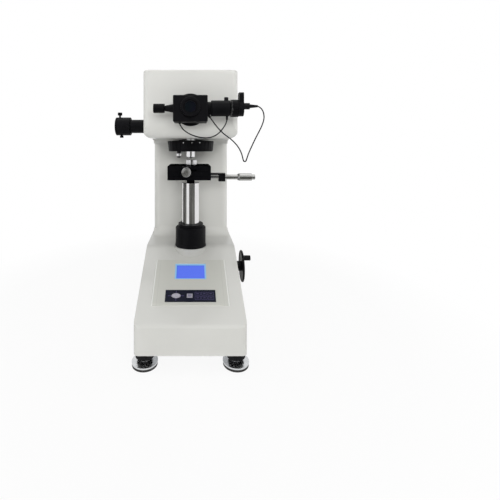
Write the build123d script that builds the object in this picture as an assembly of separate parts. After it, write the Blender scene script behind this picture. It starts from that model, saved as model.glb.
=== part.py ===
"""Bench micro-hardness tester: cast C frame, elevating XY stage, indenter turret and measuring eyepiece.

Millimetres, +Z up, the operator stands on the -Y side. The pieces are drawn about the vertical axis of
the elevating screw (X = Y = 0, Z = 0 on the bench) and are shifted at the end, so that the origin of the
written files is the centre of the footprint on the bench.
"""

from build123d import *
from math import atan2, cos, degrees, hypot, pi, radians, sin, tan
import os

# ---- frame casting ----
BASE_WIDTH = 200.0
COLUMN_WIDTH = 190.0
BASE_FRONT_Y = -181.0
REAR_Y = 299.0
BASE_UNDERSIDE_Z = 26.5
FRONT_FACE_HEIGHT = 51.0
FRONT_FACE_RADIUS = 7.0
SLOPE_TOP_Y = -5.0
BASE_TOP_Z = 166.0
SLOPE_TOP_RADIUS = 40.0
BOSS_RADIUS = 38.0
COLUMN_FRONT_Y = 90.0
COLUMN_FOOT_RADIUS = 24.0
COLUMN_EDGE_RADIUS = 16.0
COLUMN_FLARE_HEIGHT = 22.0
BASE_EDGE_RADIUS = 9.0
THROAT_TOP_Z = 409.0
THROAT_TOP_RADIUS = 14.0
HEAD_FRONT_Y = -103.0
CHIN_RADIUS = 30.0
CHIN_SIDE_RADIUS = 14.0
HEAD_EDGE_RADIUS = 12.0
COVER_SEAM_Z = 440.0
HEAD_TOP_Z = 545.0
CASTING_WALL = 9.0
HEAD_FLOOR = 8.0
REAR_OPENING_WIDTH = 140.0
REAR_OPENING_BOTTOM_Z = 52.0
REAR_OPENING_TOP_Z = 420.0

# ---- covers ----
COVER_WALL = 2.5
COVER_TOP_RADIUS = 4.0
REAR_COVER_THICKNESS = 2.0
REAR_COVER_LAP = 8.0
BOTTOM_PLATE_THICKNESS = 2.0
PLATE_CLEARANCE = 1.0
LOUVRE_COUNT = 9
LOUVRE_PITCH = 9.0
LOUVRE_WIDTH = 70.0
LOUVRE_HEIGHT = 4.0
LOUVRE_TOP_Z = 385.0

# ---- levelling feet ----
FOOT_X = 82.0
FOOT_FRONT_Y = -161.0
FOOT_REAR_Y = 272.0
FOOT_PAD_RADIUS = 23.0
FOOT_PAD_HEIGHT = 4.0
FOOT_DISH_RADIUS = 23.5
FOOT_DISH_HEIGHT = 6.0
FOOT_KNOB_RADIUS = 16.8
FOOT_KNOB_HEIGHT = 11.0
FOOT_KNOB_FLUTES = 24
FOOT_FLUTE_RADIUS = 1.0
FOOT_STUD_RADIUS = 6.0
FOOT_BOSS_RADIUS = 14.0
FOOT_BOSS_HEIGHT = 34.0
FOOT_GAP = 0.5

# ---- operating panel on the slope ----
PANEL_WIDTH = 148.0
PANEL_LENGTH = 112.0
PANEL_CENTRE_S = 96.7
PANEL_THICKNESS = 3.0
PANEL_RISE = 1.4
PANEL_BEVEL = 1.2
SCREEN_WIDTH = 64.4
SCREEN_LENGTH = 40.3
SCREEN_S = 121.1
SCREEN_RECESS = 1.2
SCREEN_THICKNESS = 2.4
BEZEL_WIDTH = 70.0
BEZEL_LENGTH = 45.0
KEYPAD_WIDTH = 96.5
KEYPAD_LENGTH = 26.5
KEYPAD_S = 61.2
KEYPAD_RISE = 0.6
PAD_KEY_X = -27.5
PAD_KEY_LENGTH = 17.0
PAD_KEY_WIDTH = 10.2
SQUARE_KEY_X = -1.5
SQUARE_KEY_WIDTH = 10.7
SQUARE_KEY_LENGTH = 8.6
KEY_RISE = 1.2
KEY_DEPTH = 2.2
KEY_TRAVEL = 0.8
KEY_CLEARANCE = 0.3
BOARD_WIDTH = 130.0
BOARD_LENGTH = 84.0
BOARD_THICKNESS = 1.6
BOARD_Z = 44.0
BOARD_CENTRE_Y = -114.0
STANDOFF_RADIUS = 4.0

# ---- elevating drive ----
SCREW_RADIUS = 19.75
SCREW_TOP_Z = 310.0
SCREW_BOTTOM_Z = 112.0
KEYWAY_WIDTH = 6.0
KEYWAY_DEPTH = 3.0
KEYWAY_ANGLE = 218.0
RUNNING_GAP = 0.05
GUIDE_BORE_RADIUS = 28.0
GUIDE_FLANGE_RADIUS = 31.0
GUIDE_FLANGE_HEIGHT = 5.0
GUIDE_SLEEVE_RADIUS = 24.0
GUIDE_TOP_Z = 203.0
DUST_COVER_RADIUS = 34.5
DUST_COVER_FLARE = 1.2
DUST_COVER_TOP_Z = 209.0
DUST_COVER_WALL = 2.5
DUST_COLLAR_RADIUS = 28.5
DUST_COLLAR_TOP_Z = 216.0
DUST_COLLAR_GAP = 0.8
WHEEL_AXIS_Z = 117.0
PINION_TEETH = 16
GEAR_TEETH = 32
GEAR_MODULE = 2.25
GEAR_FACE = 9.0
TOOTH_ADDENDUM = 0.80
TOOTH_DEDENDUM = 1.05
TOOTH_PITCH_SHARE = 0.42
PRESSURE_ANGLE = 20.0
GEAR_BLANK_DEPTH = 7.0
NUT_RADIUS = 26.0
NUT_BOTTOM_Z = 88.0
NUT_TOP_Z = 134.0
HOUSING_RADIUS = 47.0
HOUSING_WALL = 5.0
HOUSING_BOTTOM_Z = 80.0
HOUSING_FLOOR = 4.0
THRUST_GAP = 0.2
SHAFT_RADIUS = 6.0
SHAFT_BUSH_RADIUS = 10.0
SHAFT_BUSH_INNER_X = 58.0
SHAFT_BUSH_FLANGE_RADIUS = 15.0
SHAFT_BUSH_FLANGE = 3.0
WHEEL_RADIUS = 35.0
WHEEL_RIM_X = 117.6
WHEEL_RIM_RADIUS = 2.3
WHEEL_HUB_RADIUS = 11.0
WHEEL_HUB_END_X = 119.5
WHEEL_WEB = 3.0
CRANK_RADIUS = 24.0
CRANK_ANGLE = 115.0
CRANK_HANDLE_RADIUS = 5.7
CRANK_HANDLE_LENGTH = 16.0
CRANK_PIN_RADIUS = 2.5

# ---- XY stage ----
STAGE_WIDTH = 94.0
STAGE_DEPTH = 96.0
X_TRAVEL_IN = 9.5
Y_TRAVEL = 12.5
STAGE_BOTTOM_Z = 319.0
STAGE_BASE_HEIGHT = 8.0
STAGE_X_HEIGHT = 11.0
STAGE_TOP_Z = 350.0
STAGE_GAP = 0.3
STAGE_X_REST = -3.0
STAGE_NECK_RADIUS = 9.1
STAGE_NECK_DEPTH = 8.0
DOVETAIL_WIDTH = 34.0
DOVETAIL_HEIGHT = 4.0
DOVETAIL_LEAN = 2.0
DOVETAIL_GAP = 0.1
TABLE_SLOT_WIDTH = 8.0
TABLE_SLOT_DEPTH = 2.5
TABLE_SLOT_OFFSET = 32.0
TABLE_SLOT_END = 8.0
BLOCK_RADIUS = 12.5
BLOCK_HEIGHT = 12.0
BLOCK_X = 2.0

# ---- stage micrometers, measured outwards from the stage ----
MIC_SPINDLE_RADIUS = 3.2
MIC_ARM_WIDTH = 20.0
MIC_ARM_HEIGHT = 3.8
MIC_ARM_LENGTH = 35.0
MIC_CLAMP_LENGTH = 15.0
MIC_CLAMP_WIDTH = 18.0
MIC_CLAMP_HEIGHT = 18.5
MIC_BARREL_RADIUS = 5.6
MIC_BARREL_LENGTH = 45.0
MIC_THIMBLE_START = 64.0
MIC_THIMBLE_RADIUS = 8.5
MIC_THIMBLE_LENGTH = 33.0
MIC_THIMBLE_WALL = 2.4
MIC_THIMBLE_CAP = 1.8
MIC_RATCHET_RADIUS = 6.0
MIC_RATCHET_LENGTH = 7.0
MIC_X_AXIS_Z = 322.0
MIC_Y_AXIS_Z = 343.0
MIC_Y_AXIS_X = -8.0

# ---- turret, indenter and objectives ----
TURRET_Y = 28.0
TURRET_TOP_RADIUS = 55.0
TURRET_BOTTOM_RADIUS = 52.6
TURRET_BOTTOM_Z = 381.0
TURRET_RIM_Z = 405.5
TURRET_CROWN_Z = 407.6
TURRET_CROWN_RADIUS = 26.0
TURRET_FLUTES = 30
TURRET_FLUTE_RADIUS = 1.7
TURRET_PIVOT_RADIUS = 8.0
TURRET_PIVOT_HEAD_RADIUS = 12.0
TURRET_PIVOT_HEAD = 5.0
TURRET_NUT_HEIGHT = 1.8
STATION_RADIUS = 28.0
INDENTER_RADIUS = 9.7
INDENTER_BOTTOM_Z = 367.4
INDENTER_TIP_Z = 364.5
INDENTER_ROD_RADIUS = 6.0
INDENTER_CAP_RADIUS = 9.6
INDENTER_CAP_HEIGHT = 3.0
INDENTER_CAP_TOP_Z = 408.6
STATION_SINK_RADIUS = 10.5
STATION_SINK_Z = 400.0
OBJECTIVE_SEAT_RADIUS = 9.0
OBJECTIVE_NOSE_RADIUS = 5.0
OBJECTIVE_RING_RADIUS = 5.8
OBJECTIVE_LOW_TIP_Z = 365.6
OBJECTIVE_HIGH_TIP_Z = 364.0
LIGHT_HOLE_RADIUS = 3.0
STROKE = 1.0

# ---- loading train in the head ----
SPINDLE_RADIUS = 11.0
SPINDLE_BORE_RADIUS = 7.0
SPINDLE_TOP_Z = 428.5
SPINDLE_GUIDE_RADIUS = 15.0
SPINDLE_COLLAR_RADIUS = 16.5
SPINDLE_COLLAR_Z = 418.8
SPINDLE_COLLAR_HEIGHT = 1.8
LEVER_Z = 424.5
LEVER_HEIGHT = 7.0
LEVER_WIDTH = 14.0
LEVER_RING_RADIUS = 19.0
LEVER_RING_BORE = 12.5
LEVER_PIVOT_Y = -45.0
LEVER_PIN_RADIUS = 3.0
LEVER_NOSE_Y = 185.0
LEVER_NOSE_RADIUS = 5.0
LEVER_END_Y = 245.0
WEIGHT_Y = 235.0
WEIGHT_RADIUS = 26.0
WEIGHT_HEIGHT = 14.0
WEIGHT_COUNT = 2
WEIGHT_ROD_RADIUS = 3.0
WEIGHT_TOP_Z = 395.0
CAM_AXIS_Z = 399.0
CAM_WIDTH = 8.0
CAM_GAP = 0.3
MOTOR_RADIUS = 18.5
MOTOR_LENGTH = 50.0
MOTOR_SHAFT_RADIUS = 3.0

# ---- optics ----
OPTIC_Z = 462.0
PRISM_HALF_WIDTH = 34.0
PRISM_FRONT_Y = -40.0
PRISM_REAR_Y = 30.0
PRISM_BOTTOM_Z = 430.0
PRISM_TOP_Z = 486.0
PRISM_LEG = 9.0
PRISM_BORE_RADIUS = 8.0
TUBE_RADIUS = 18.0
TUBE_WALL = 3.5
TUBE_END_Y = -122.0
LAMP_Z = 438.6
LAMP_NECK_RADIUS = 15.4
LAMP_NECK_END_X = -137.5
LAMP_INNER_RADIUS = 11.0
LAMP_BARREL_RADIUS = 20.7
LAMP_END_X = -171.0
LAMP_BARREL_WALL = 3.0
LAMP_GROOVE_X = -167.0
LAMP_GROOVE_WIDTH = 1.6
LAMP_GROOVE_DEPTH = 1.0
LAMP_SCREW_X = -163.0
LAMP_SCREW_HEAD_RADIUS = 5.0
LAMP_SCREW_HEAD = 6.5
LAMP_SCREW_STEM_RADIUS = 2.2
LAMP_SCREW_STEM = 4.5
LAMP_SCREW_LOW_X = -159.0
LAMP_SCREW_LOW_RADIUS = 4.0
LAMP_SCREW_LOW = 5.0
BULB_RADIUS = 6.0
BULB_LENGTH = 16.0
LAMP_SOCKET_RADIUS = 12.0
LAMP_SOCKET_LENGTH = 10.0

# ---- measuring eyepiece ----
EYE_FLANGE_RADIUS = 31.0
EYE_FLANGE_Y = -128.0
EYE_FLANGE_THICKNESS = 6.0
EYE_HUB_RADIUS = 22.5
EYE_HUB_REAR_Y = -107.0
EYE_BLOCK_WIDTH = 62.0
EYE_BLOCK_HEIGHT = 47.6
EYE_BLOCK_DROP = 2.2
EYE_BLOCK_FRONT_Y = -170.0
EYE_BLOCK_EDGE = 2.0
EYE_MID_Y = -149.0
EYE_RING_RADIUS = 17.5
EYE_RING_LENGTH = 9.0
EYE_SEAT_RADIUS = 13.5
EYE_LENS_RADIUS = 11.0
LEFT_CONE_BASE_RADIUS = 8.0
LEFT_CONE_TIP_RADIUS = 5.0
LEFT_CONE_LENGTH = 16.0
LEFT_KNOB_RADIUS = 8.6
LEFT_KNOB_LENGTH = 20.5
LEFT_KNOB_PIN_RADIUS = 3.0
KNURL_RADIUS = 0.5
KNOB_KNURLS = 20
ENCODER_NECK_RADIUS = 12.0
ENCODER_START_X = 38.0
ENCODER_RADIUS = 14.7
ENCODER_END_X = 72.5
DRUM_RADIUS = 15.9
DRUM_START_X = 74.0
DRUM_END_X = 88.3
DRUM_CORE_RADIUS = 9.0
DRUM_KNURLS = 30
END_PLATE_X = 89.0
END_PLATE_THICKNESS = 8.2
END_PLATE_RISE = 28.7
END_PLATE_WIDTH = 22.0
CONNECTOR_RADIUS = 5.9
CONNECTOR_LENGTH = 11.6
RELIEF_END_X = 124.0
RELIEF_RADIUS = 3.0
READ_BUTTON_X = 66.0
READ_BUTTON_RADIUS = 3.9
READ_BUTTON_RISE = 5.6
READ_BUTTON_DEPTH = 5.0
READ_BUTTON_TRAVEL = 1.2
LEAD_RADIUS = 1.1
LEAD_SLEEVE_RADIUS = 2.2
LEAD_SLEEVE_LENGTH = 5.0

# ---- rear connections and power ----
INLET_X = -38.0
INLET_Z = 84.0
INLET_WIDTH = 48.0
INLET_HEIGHT = 28.0
INLET_SOCKET_WIDTH = 24.0
INLET_SOCKET_HEIGHT = 16.0
INLET_DEPTH = 26.0
INLET_FLANGE = 2.5
SWITCH_X = 8.0
SWITCH_WIDTH = 22.0
SWITCH_HEIGHT = 15.0
SWITCH_DEPTH = 16.0
SWITCH_FRAME = 2.0
ROCKER_WIDTH = 17.0
ROCKER_HEIGHT = 10.5
ROCKER_THROW = 8.0
FUSE_X = 44.0
FUSE_RADIUS = 7.0
FUSE_DEPTH = 24.0
FUSE_CAP_RADIUS = 8.0
FUSE_CAP_LENGTH = 6.0
SUPPLY_WIDTH = 110.0
SUPPLY_DEPTH = 80.0
SUPPLY_HEIGHT = 42.0
SUPPLY_Y = 175.0

SCREW_HEAD_RADIUS = 3.6
SCREW_HEAD_HEIGHT = 1.8

# ---- free leads of the measuring eyepiece ----
ENCODER_LEAD_ROUTE = [
    (124.0, -149.0, 466.0),
    (129.4, -149.1, 463.6),
    (134.4, -149.5, 456.0),
    (136.0, -150.5, 443.5),
    (130.5, -152.0, 428.0),
    (121.5, -153.0, 411.5),
    (112.5, -153.4, 393.0),
    (106.0, -153.5, 378.5),
    (103.2, -153.6, 370.0),
    (101.7, -153.7, 365.2),
    (99.3, -153.7, 364.1),
    (96.9, -153.7, 365.2),
    (93.9, -153.5, 379.0),
    (87.0, -153.0, 392.5),
    (74.5, -152.0, 405.5),
    (59.0, -151.0, 416.5),
    (46.0, -150.0, 431.0),
    (36.5, -149.0, 445.0),
]
BUTTON_LEAD_ROUTE = [
    (-20.0, -145.0, 434.0),
    (-16.5, -144.0, 426.5),
    (-8.5, -142.5, 419.0),
    (4.0, -141.0, 412.5),
    (20.0, -140.0, 408.0),
    (37.0, -140.5, 408.0),
    (50.5, -142.0, 414.0),
    (60.0, -144.5, 424.5),
    (66.0, -148.0, 434.5),
    (67.5, -149.0, 441.0),
]
LEAD_BEND_SHARE = 0.45
LEAD_NODES = ("encoder_lead", "button_lead", "lead_fittings")

# ---- sizes that follow from the ones above ----
CREASE_Z = BASE_UNDERSIDE_Z + FRONT_FACE_HEIGHT
SLOPE_ANGLE = degrees(atan2(BASE_TOP_Z - CREASE_Z, SLOPE_TOP_Y - BASE_FRONT_Y))
CAVITY_HALF = COLUMN_WIDTH / 2 - CASTING_WALL
HEAD_FLOOR_Z = THROAT_TOP_Z + HEAD_FLOOR
PINION_RADIUS = PINION_TEETH * GEAR_MODULE / 2
GEAR_RADIUS = GEAR_TEETH * GEAR_MODULE / 2
CONE_LENGTH = hypot(PINION_RADIUS, GEAR_RADIUS)
STAGE_X_Z = STAGE_BOTTOM_Z + STAGE_BASE_HEIGHT + STAGE_GAP
STAGE_Y_Z = STAGE_X_Z + STAGE_X_HEIGHT + STAGE_GAP
STAGE_SIDE_X = STAGE_X_REST + STAGE_WIDTH / 2
LEVER_ARM = -LEVER_PIVOT_Y
CAM_LIFT = STROKE * (LEVER_NOSE_Y - LEVER_PIVOT_Y) / LEVER_ARM
CAM_TOP_RADIUS = LEVER_Z - LEVER_NOSE_RADIUS - CAM_GAP - CAM_AXIS_Z
REAR_FACE_Y = REAR_Y + REAR_COVER_THICKNESS
KNOB_TOP_Z = BASE_UNDERSIDE_Z - FOOT_GAP
KNOB_BOTTOM_Z = KNOB_TOP_Z - FOOT_KNOB_HEIGHT
DISH_TOP_Z = FOOT_PAD_HEIGHT + FOOT_DISH_HEIGHT


# ---- helpers ----
def block(x0, x1, y0, y1, z0, z1):
    """A box between two corners."""
    centre = Pos((x0 + x1) / 2, (y0 + y1) / 2, (z0 + z1) / 2)
    return centre * Box(abs(x1 - x0), abs(y1 - y0), abs(z1 - z0))


def rod_x(radius, x0, x1, y=0.0, z=0.0):
    """A round bar along X."""
    return Pos((x0 + x1) / 2, y, z) * Cylinder(radius, abs(x1 - x0), rotation=(0, 90, 0))


def rod_y(radius, y0, y1, x=0.0, z=0.0):
    """A round bar along Y."""
    return Pos(x, (y0 + y1) / 2, z) * Cylinder(radius, abs(y1 - y0), rotation=(90, 0, 0))


def rod_z(radius, z0, z1, x=0.0, y=0.0):
    """A round bar along Z."""
    return Pos(x, y, (z0 + z1) / 2) * Cylinder(radius, abs(z1 - z0))


def turned(points):
    """A solid turned about Z from (radius, height) points."""
    outline = make_face(Plane.XZ * Polyline(points, close=True))
    return revolve(outline, Axis.Z)


def turned_x(points):
    """A solid turned about X from (radius, x) points."""
    return Rot(0, 90, 0) * turned(points)


def fluted(radius, flute_radius, count, z0, z1):
    """Round grooves along a bar that stands on Z, as one cutter."""
    cutters = []
    for i in range(count):
        angle = radians(360 * i / count)
        cutters.append(rod_z(flute_radius, z0, z1, radius * cos(angle), radius * sin(angle)))
    return cutters


def side_profile(points, radii, half_width):
    """A slab as wide as the machine from (y, z) points, with rounded corners given by index."""
    outline = make_face(Plane.YZ * Polyline(points, close=True))
    for corner, radius in radii:
        nearest = outline.vertices().sort_by_distance((0, *points[corner]))[0]
        outline = fillet(nearest, radius)
    return extrude(outline, half_width, both=True)


def group(*pieces):
    """Several separate solids kept in one node."""
    return Compound([solid for piece in pieces for solid in piece.solids()])


def bore_group(shape, cutters):
    """Subtracts several solids from one."""
    for cutter in cutters:
        shape = shape - cutter
    return shape


def on_slope(shape):
    """Moves a shape drawn flat, with Y up the slope from its lower edge, onto the slope."""
    return Pos(0, BASE_FRONT_Y, CREASE_Z) * Rot(SLOPE_ANGLE, 0, 0) * shape


def bend_radii(route):
    """The largest tangent arcs that a route's runs leave room for."""
    radii = []
    for i in range(1, len(route) - 1):
        before = Vector(*route[i]) - Vector(*route[i - 1])
        after = Vector(*route[i + 1]) - Vector(*route[i])
        turn = radians(before.get_angle(after))
        run = min(before.length, after.length)
        radii.append(LEAD_BEND_SHARE * run / tan(turn / 2))
    return radii


def lead(route):
    """A free lead: straight runs joined by tangent arcs."""
    radii = bend_radii(route)
    print("lead bend radii:", [round(r, 1) for r in radii])
    path = FilletPolyline(*route, radius=radii)
    start = Plane(origin=path @ 0, z_dir=path % 0)
    tube = sweep(start * Circle(LEAD_RADIUS), path=path)
    print(f"lead length {path.length:.1f}, volume share {tube.volume / (pi * LEAD_RADIUS ** 2 * path.length):.4f}")
    return tube


# ---- frame casting and covers ----
def rounded_column(half_width, y0, y1, z0, z1, radius):
    """A rectangular prism with rounded upright edges."""
    plan = Pos(0, (y0 + y1) / 2, z0) * RectangleRounded(2 * half_width, y1 - y0, radius)
    return extrude(plan, z1 - z0)


def base_body():
    """The wide base with its sloped panel face."""
    points = [
        (BASE_FRONT_Y, BASE_UNDERSIDE_Z),
        (BASE_FRONT_Y, CREASE_Z),
        (SLOPE_TOP_Y, BASE_TOP_Z),
        (REAR_Y, BASE_TOP_Z),
        (REAR_Y, BASE_UNDERSIDE_Z),
    ]
    body = side_profile(points, [(2, SLOPE_TOP_RADIUS), (1, FRONT_FACE_RADIUS)], BASE_WIDTH / 2)
    plan = rounded_column(BASE_WIDTH / 2, BASE_FRONT_Y, REAR_Y, BASE_UNDERSIDE_Z, BASE_TOP_Z, BASE_EDGE_RADIUS)
    return body & plan


def column_body():
    """The column, with the concave foot and throat corners, up to the cover's seam."""
    points = [
        (COLUMN_FRONT_Y - COLUMN_FOOT_RADIUS, BASE_TOP_Z - 1),
        (COLUMN_FRONT_Y - COLUMN_FOOT_RADIUS, BASE_TOP_Z),
        (COLUMN_FRONT_Y, BASE_TOP_Z),
        (COLUMN_FRONT_Y, THROAT_TOP_Z),
        (COLUMN_FRONT_Y - 2 * THROAT_TOP_RADIUS, THROAT_TOP_Z),
        (COLUMN_FRONT_Y - 2 * THROAT_TOP_RADIUS, COVER_SEAM_Z),
        (REAR_Y, COVER_SEAM_Z),
        (REAR_Y, BASE_TOP_Z - 1),
    ]
    radii = [(3, THROAT_TOP_RADIUS), (2, COLUMN_FOOT_RADIUS - 0.5)]
    return side_profile(points, radii, COLUMN_WIDTH / 2)


def column_edge_cutters():
    """Rounds the two front upright edges of the column between base and head."""
    corner = COLUMN_WIDTH / 2
    r = COLUMN_EDGE_RADIUS
    cutters = []
    for side in (-1, 1):
        square = block(side * (corner - r), side * (corner + 1), COLUMN_FRONT_Y - 1, COLUMN_FRONT_Y + r,
                       BASE_TOP_Z, THROAT_TOP_Z)
        cutters.append(square - rod_z(r, BASE_TOP_Z, THROAT_TOP_Z, side * (corner - r), COLUMN_FRONT_Y + r))
    return cutters


def side_flare():
    """The sweep of the column's sides out to the wider base, one wedge a side."""
    top = BASE_TOP_Z + COLUMN_FLARE_HEIGHT
    half = COLUMN_WIDTH / 2
    step = (BASE_WIDTH - COLUMN_WIDTH) / 2
    flares = []
    for side in (-1, 1):
        curve = Plane.XZ * Spline(
            [(side * half, top), (side * (half + step), BASE_TOP_Z)],
            tangents=[(0, -1), (side * 0.6, -1)],
        )
        ends = curve @ 0, curve @ 1
        inner = Vector(side * (half - 1), 0, BASE_TOP_Z - 1)
        edge = [
            curve,
            Line(ends[1], Vector(ends[1].X, 0, BASE_TOP_Z - 1)),
            Line(Vector(ends[1].X, 0, BASE_TOP_Z - 1), inner),
            Line(inner, Vector(side * (half - 1), 0, top)),
            Line(Vector(side * (half - 1), 0, top), ends[0]),
        ]
        face = make_face(edge)
        wedge = extrude(face, REAR_Y - COLUMN_FRONT_Y - COLUMN_EDGE_RADIUS, dir=(0, 1, 0))
        flares.append(Pos(0, COLUMN_FRONT_Y + COLUMN_EDGE_RADIUS, 0) * wedge)
    return flares


def head_body():
    """The arm under the head cover, with its chin and rounded lower edges."""
    arm = rounded_column(COLUMN_WIDTH / 2, HEAD_FRONT_Y, REAR_Y, THROAT_TOP_Z, COVER_SEAM_Z, HEAD_EDGE_RADIUS)
    points = [
        (HEAD_FRONT_Y, THROAT_TOP_Z),
        (HEAD_FRONT_Y, COVER_SEAM_Z),
        (COLUMN_FRONT_Y + COLUMN_EDGE_RADIUS, COVER_SEAM_Z),
        (COLUMN_FRONT_Y + COLUMN_EDGE_RADIUS, THROAT_TOP_Z),
    ]
    chin = side_profile(points, [(0, CHIN_RADIUS)], COLUMN_WIDTH / 2)
    half = COLUMN_WIDTH / 2
    front = Plane.XZ * make_face(Polyline(
        [(-half, THROAT_TOP_Z), (half, THROAT_TOP_Z), (half, COVER_SEAM_Z), (-half, COVER_SEAM_Z)], close=True))
    lower = front.vertices().sort_by(Axis.Z)[:2]
    front = fillet(lower, CHIN_SIDE_RADIUS)
    rounded = extrude(front, COLUMN_FRONT_Y + COLUMN_EDGE_RADIUS - HEAD_FRONT_Y, dir=(0, 1, 0))
    rounded = Pos(0, HEAD_FRONT_Y, 0) * rounded
    return arm & chin & rounded


def casting_cavity():
    """The hollow of the casting: open below, behind the column and under the head cover."""
    front = BASE_FRONT_Y + CASTING_WALL
    run = tan(radians(SLOPE_ANGLE))
    drop = CASTING_WALL / cos(radians(SLOPE_ANGLE))
    roof = BASE_TOP_Z - CASTING_WALL - 1
    crease = CREASE_Z + CASTING_WALL * run - drop
    slope_end = front + (roof - crease) / run
    points = [
        (front, BASE_UNDERSIDE_Z - 1),
        (front, crease),
        (slope_end, roof),
        (COLUMN_FRONT_Y + CASTING_WALL, roof),
        (COLUMN_FRONT_Y + CASTING_WALL, HEAD_FLOOR_Z),
        (HEAD_FRONT_Y + CASTING_WALL + CHIN_RADIUS / 2, HEAD_FLOOR_Z),
        (HEAD_FRONT_Y + CASTING_WALL, HEAD_FLOOR_Z + CHIN_RADIUS / 2),
        (HEAD_FRONT_Y + CASTING_WALL, COVER_SEAM_Z + 1),
        (REAR_Y - CASTING_WALL, COVER_SEAM_Z + 1),
        (REAR_Y - CASTING_WALL, BASE_UNDERSIDE_Z - 1),
    ]
    return side_profile(points, [], CAVITY_HALF)


def foot_places():
    """The four feet, in the plane."""
    return [(x, y) for y in (FOOT_FRONT_Y, FOOT_REAR_Y) for x in (-FOOT_X, FOOT_X)]


def frame_casting():
    """The hollow C-shaped casting that carries everything."""
    body = base_body() + column_body() + head_body()
    body = bore_group(body, column_edge_cutters())
    for flare in side_flare():
        body = body + flare
    body = body + rod_z(BOSS_RADIUS, BASE_TOP_Z - HOUSING_RADIUS, BASE_TOP_Z)
    body = body - casting_cavity()
    boss_bottom = BASE_UNDERSIDE_Z + BOTTOM_PLATE_THICKNESS
    for x, y in foot_places():
        side = 1 if x > 0 else -1
        end = -1 if y < 0 else 1
        wall_y = BASE_FRONT_Y + CASTING_WALL - 1 if y < 0 else REAR_Y - CASTING_WALL + 1
        lug = block(side * (FOOT_X - FOOT_BOSS_RADIUS), side * (CAVITY_HALF + 1), y - end * FOOT_BOSS_RADIUS,
                    wall_y, boss_bottom, boss_bottom + FOOT_BOSS_HEIGHT)
        body = body + lug
        body = body - rod_z(FOOT_STUD_RADIUS + RUNNING_GAP, 0, boss_bottom + FOOT_BOSS_HEIGHT - 4, x, y)
    half = REAR_OPENING_WIDTH / 2
    holes = [
        block(-half, half, REAR_Y - CASTING_WALL - 1, REAR_Y + 1, REAR_OPENING_BOTTOM_Z, REAR_OPENING_TOP_Z),
        rod_z(GUIDE_BORE_RADIUS, BASE_TOP_Z - 4 * CASTING_WALL, BASE_TOP_Z + 1),
        rod_x(SHAFT_BUSH_RADIUS, CAVITY_HALF - 1, BASE_WIDTH, z=WHEEL_AXIS_Z),
        rod_z(SPINDLE_GUIDE_RADIUS, THROAT_TOP_Z - 1, HEAD_FLOOR_Z + 1),
        rod_z(TURRET_PIVOT_RADIUS, THROAT_TOP_Z - 1, HEAD_FLOOR_Z + 1, 0, TURRET_Y),
        rod_x(LAMP_NECK_RADIUS + KEY_CLEARANCE, -COLUMN_WIDTH, -CAVITY_HALF + 1, z=LAMP_Z),
        panel_recess(),
    ]
    return bore_group(body, holes)


def head_cover():
    """The hood over the head, notched where the lamp and the eyepiece tube pass."""
    outer = rounded_column(COLUMN_WIDTH / 2, HEAD_FRONT_Y, REAR_Y, COVER_SEAM_Z, HEAD_TOP_Z, HEAD_EDGE_RADIUS)
    outer = fillet(outer.edges().group_by(Axis.Z)[-1], COVER_TOP_RADIUS)
    inner = rounded_column(COLUMN_WIDTH / 2 - COVER_WALL, HEAD_FRONT_Y + COVER_WALL, REAR_Y - COVER_WALL,
                           COVER_SEAM_Z - 1, HEAD_TOP_Z - COVER_WALL, HEAD_EDGE_RADIUS - COVER_WALL)
    tube = TUBE_RADIUS + KEY_CLEARANCE
    notch = rod_y(tube, HEAD_FRONT_Y - 1, HEAD_FRONT_Y + 2 * COVER_WALL, z=OPTIC_Z)
    slot = block(-tube, tube, HEAD_FRONT_Y - 1, HEAD_FRONT_Y + 2 * COVER_WALL, COVER_SEAM_Z - 1, OPTIC_Z)
    lamp = rod_x(LAMP_NECK_RADIUS + KEY_CLEARANCE, -COLUMN_WIDTH, -COLUMN_WIDTH / 2 + 2 * COVER_WALL, z=LAMP_Z)
    return bore_group(outer - inner, [notch, slot, lamp])


def rear_cover():
    """The plate over the column's rear opening, with louvres and the cut-outs for the connections."""
    half = REAR_OPENING_WIDTH / 2 + REAR_COVER_LAP
    low = REAR_OPENING_BOTTOM_Z - REAR_COVER_LAP
    high = REAR_OPENING_TOP_Z + REAR_COVER_LAP
    plate = block(-half, half, REAR_Y, REAR_FACE_Y, low, high)
    cuts = []
    for i in range(LOUVRE_COUNT):
        z = LOUVRE_TOP_Z - i * LOUVRE_PITCH
        slot = extrude(Plane.XZ * SlotOverall(LOUVRE_WIDTH, LOUVRE_HEIGHT), 2 * REAR_COVER_THICKNESS, both=True)
        cuts.append(Pos(0, REAR_Y, z) * slot)
    cuts.append(cut_through(INLET_X, INLET_WIDTH - 2 * REAR_COVER_LAP, INLET_HEIGHT - 6))
    cuts.append(cut_through(SWITCH_X, SWITCH_WIDTH - 3, SWITCH_HEIGHT - 3))
    cuts.append(rod_y(FUSE_RADIUS, REAR_Y - 1, REAR_FACE_Y + 1, FUSE_X, INLET_Z))
    return bore_group(plate, cuts)


def cut_through(x, width, height):
    """A rectangular cut-out in the rear cover at the height of the inlet."""
    return block(x - width / 2, x + width / 2, REAR_Y - 1, REAR_FACE_Y + 1, INLET_Z - height / 2,
                 INLET_Z + height / 2)


def bottom_plate():
    """The sheet that closes the base from below."""
    half = CAVITY_HALF - PLATE_CLEARANCE
    front = BASE_FRONT_Y + CASTING_WALL + PLATE_CLEARANCE
    rear = REAR_Y - CASTING_WALL - PLATE_CLEARANCE
    plate = block(-half, half, front, rear, BASE_UNDERSIDE_Z, BASE_UNDERSIDE_Z + BOTTOM_PLATE_THICKNESS)
    holes = [rod_z(FOOT_STUD_RADIUS + 1, 0, BASE_TOP_Z / 2, x, y) for x, y in foot_places()]
    return bore_group(plate, holes)


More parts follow.
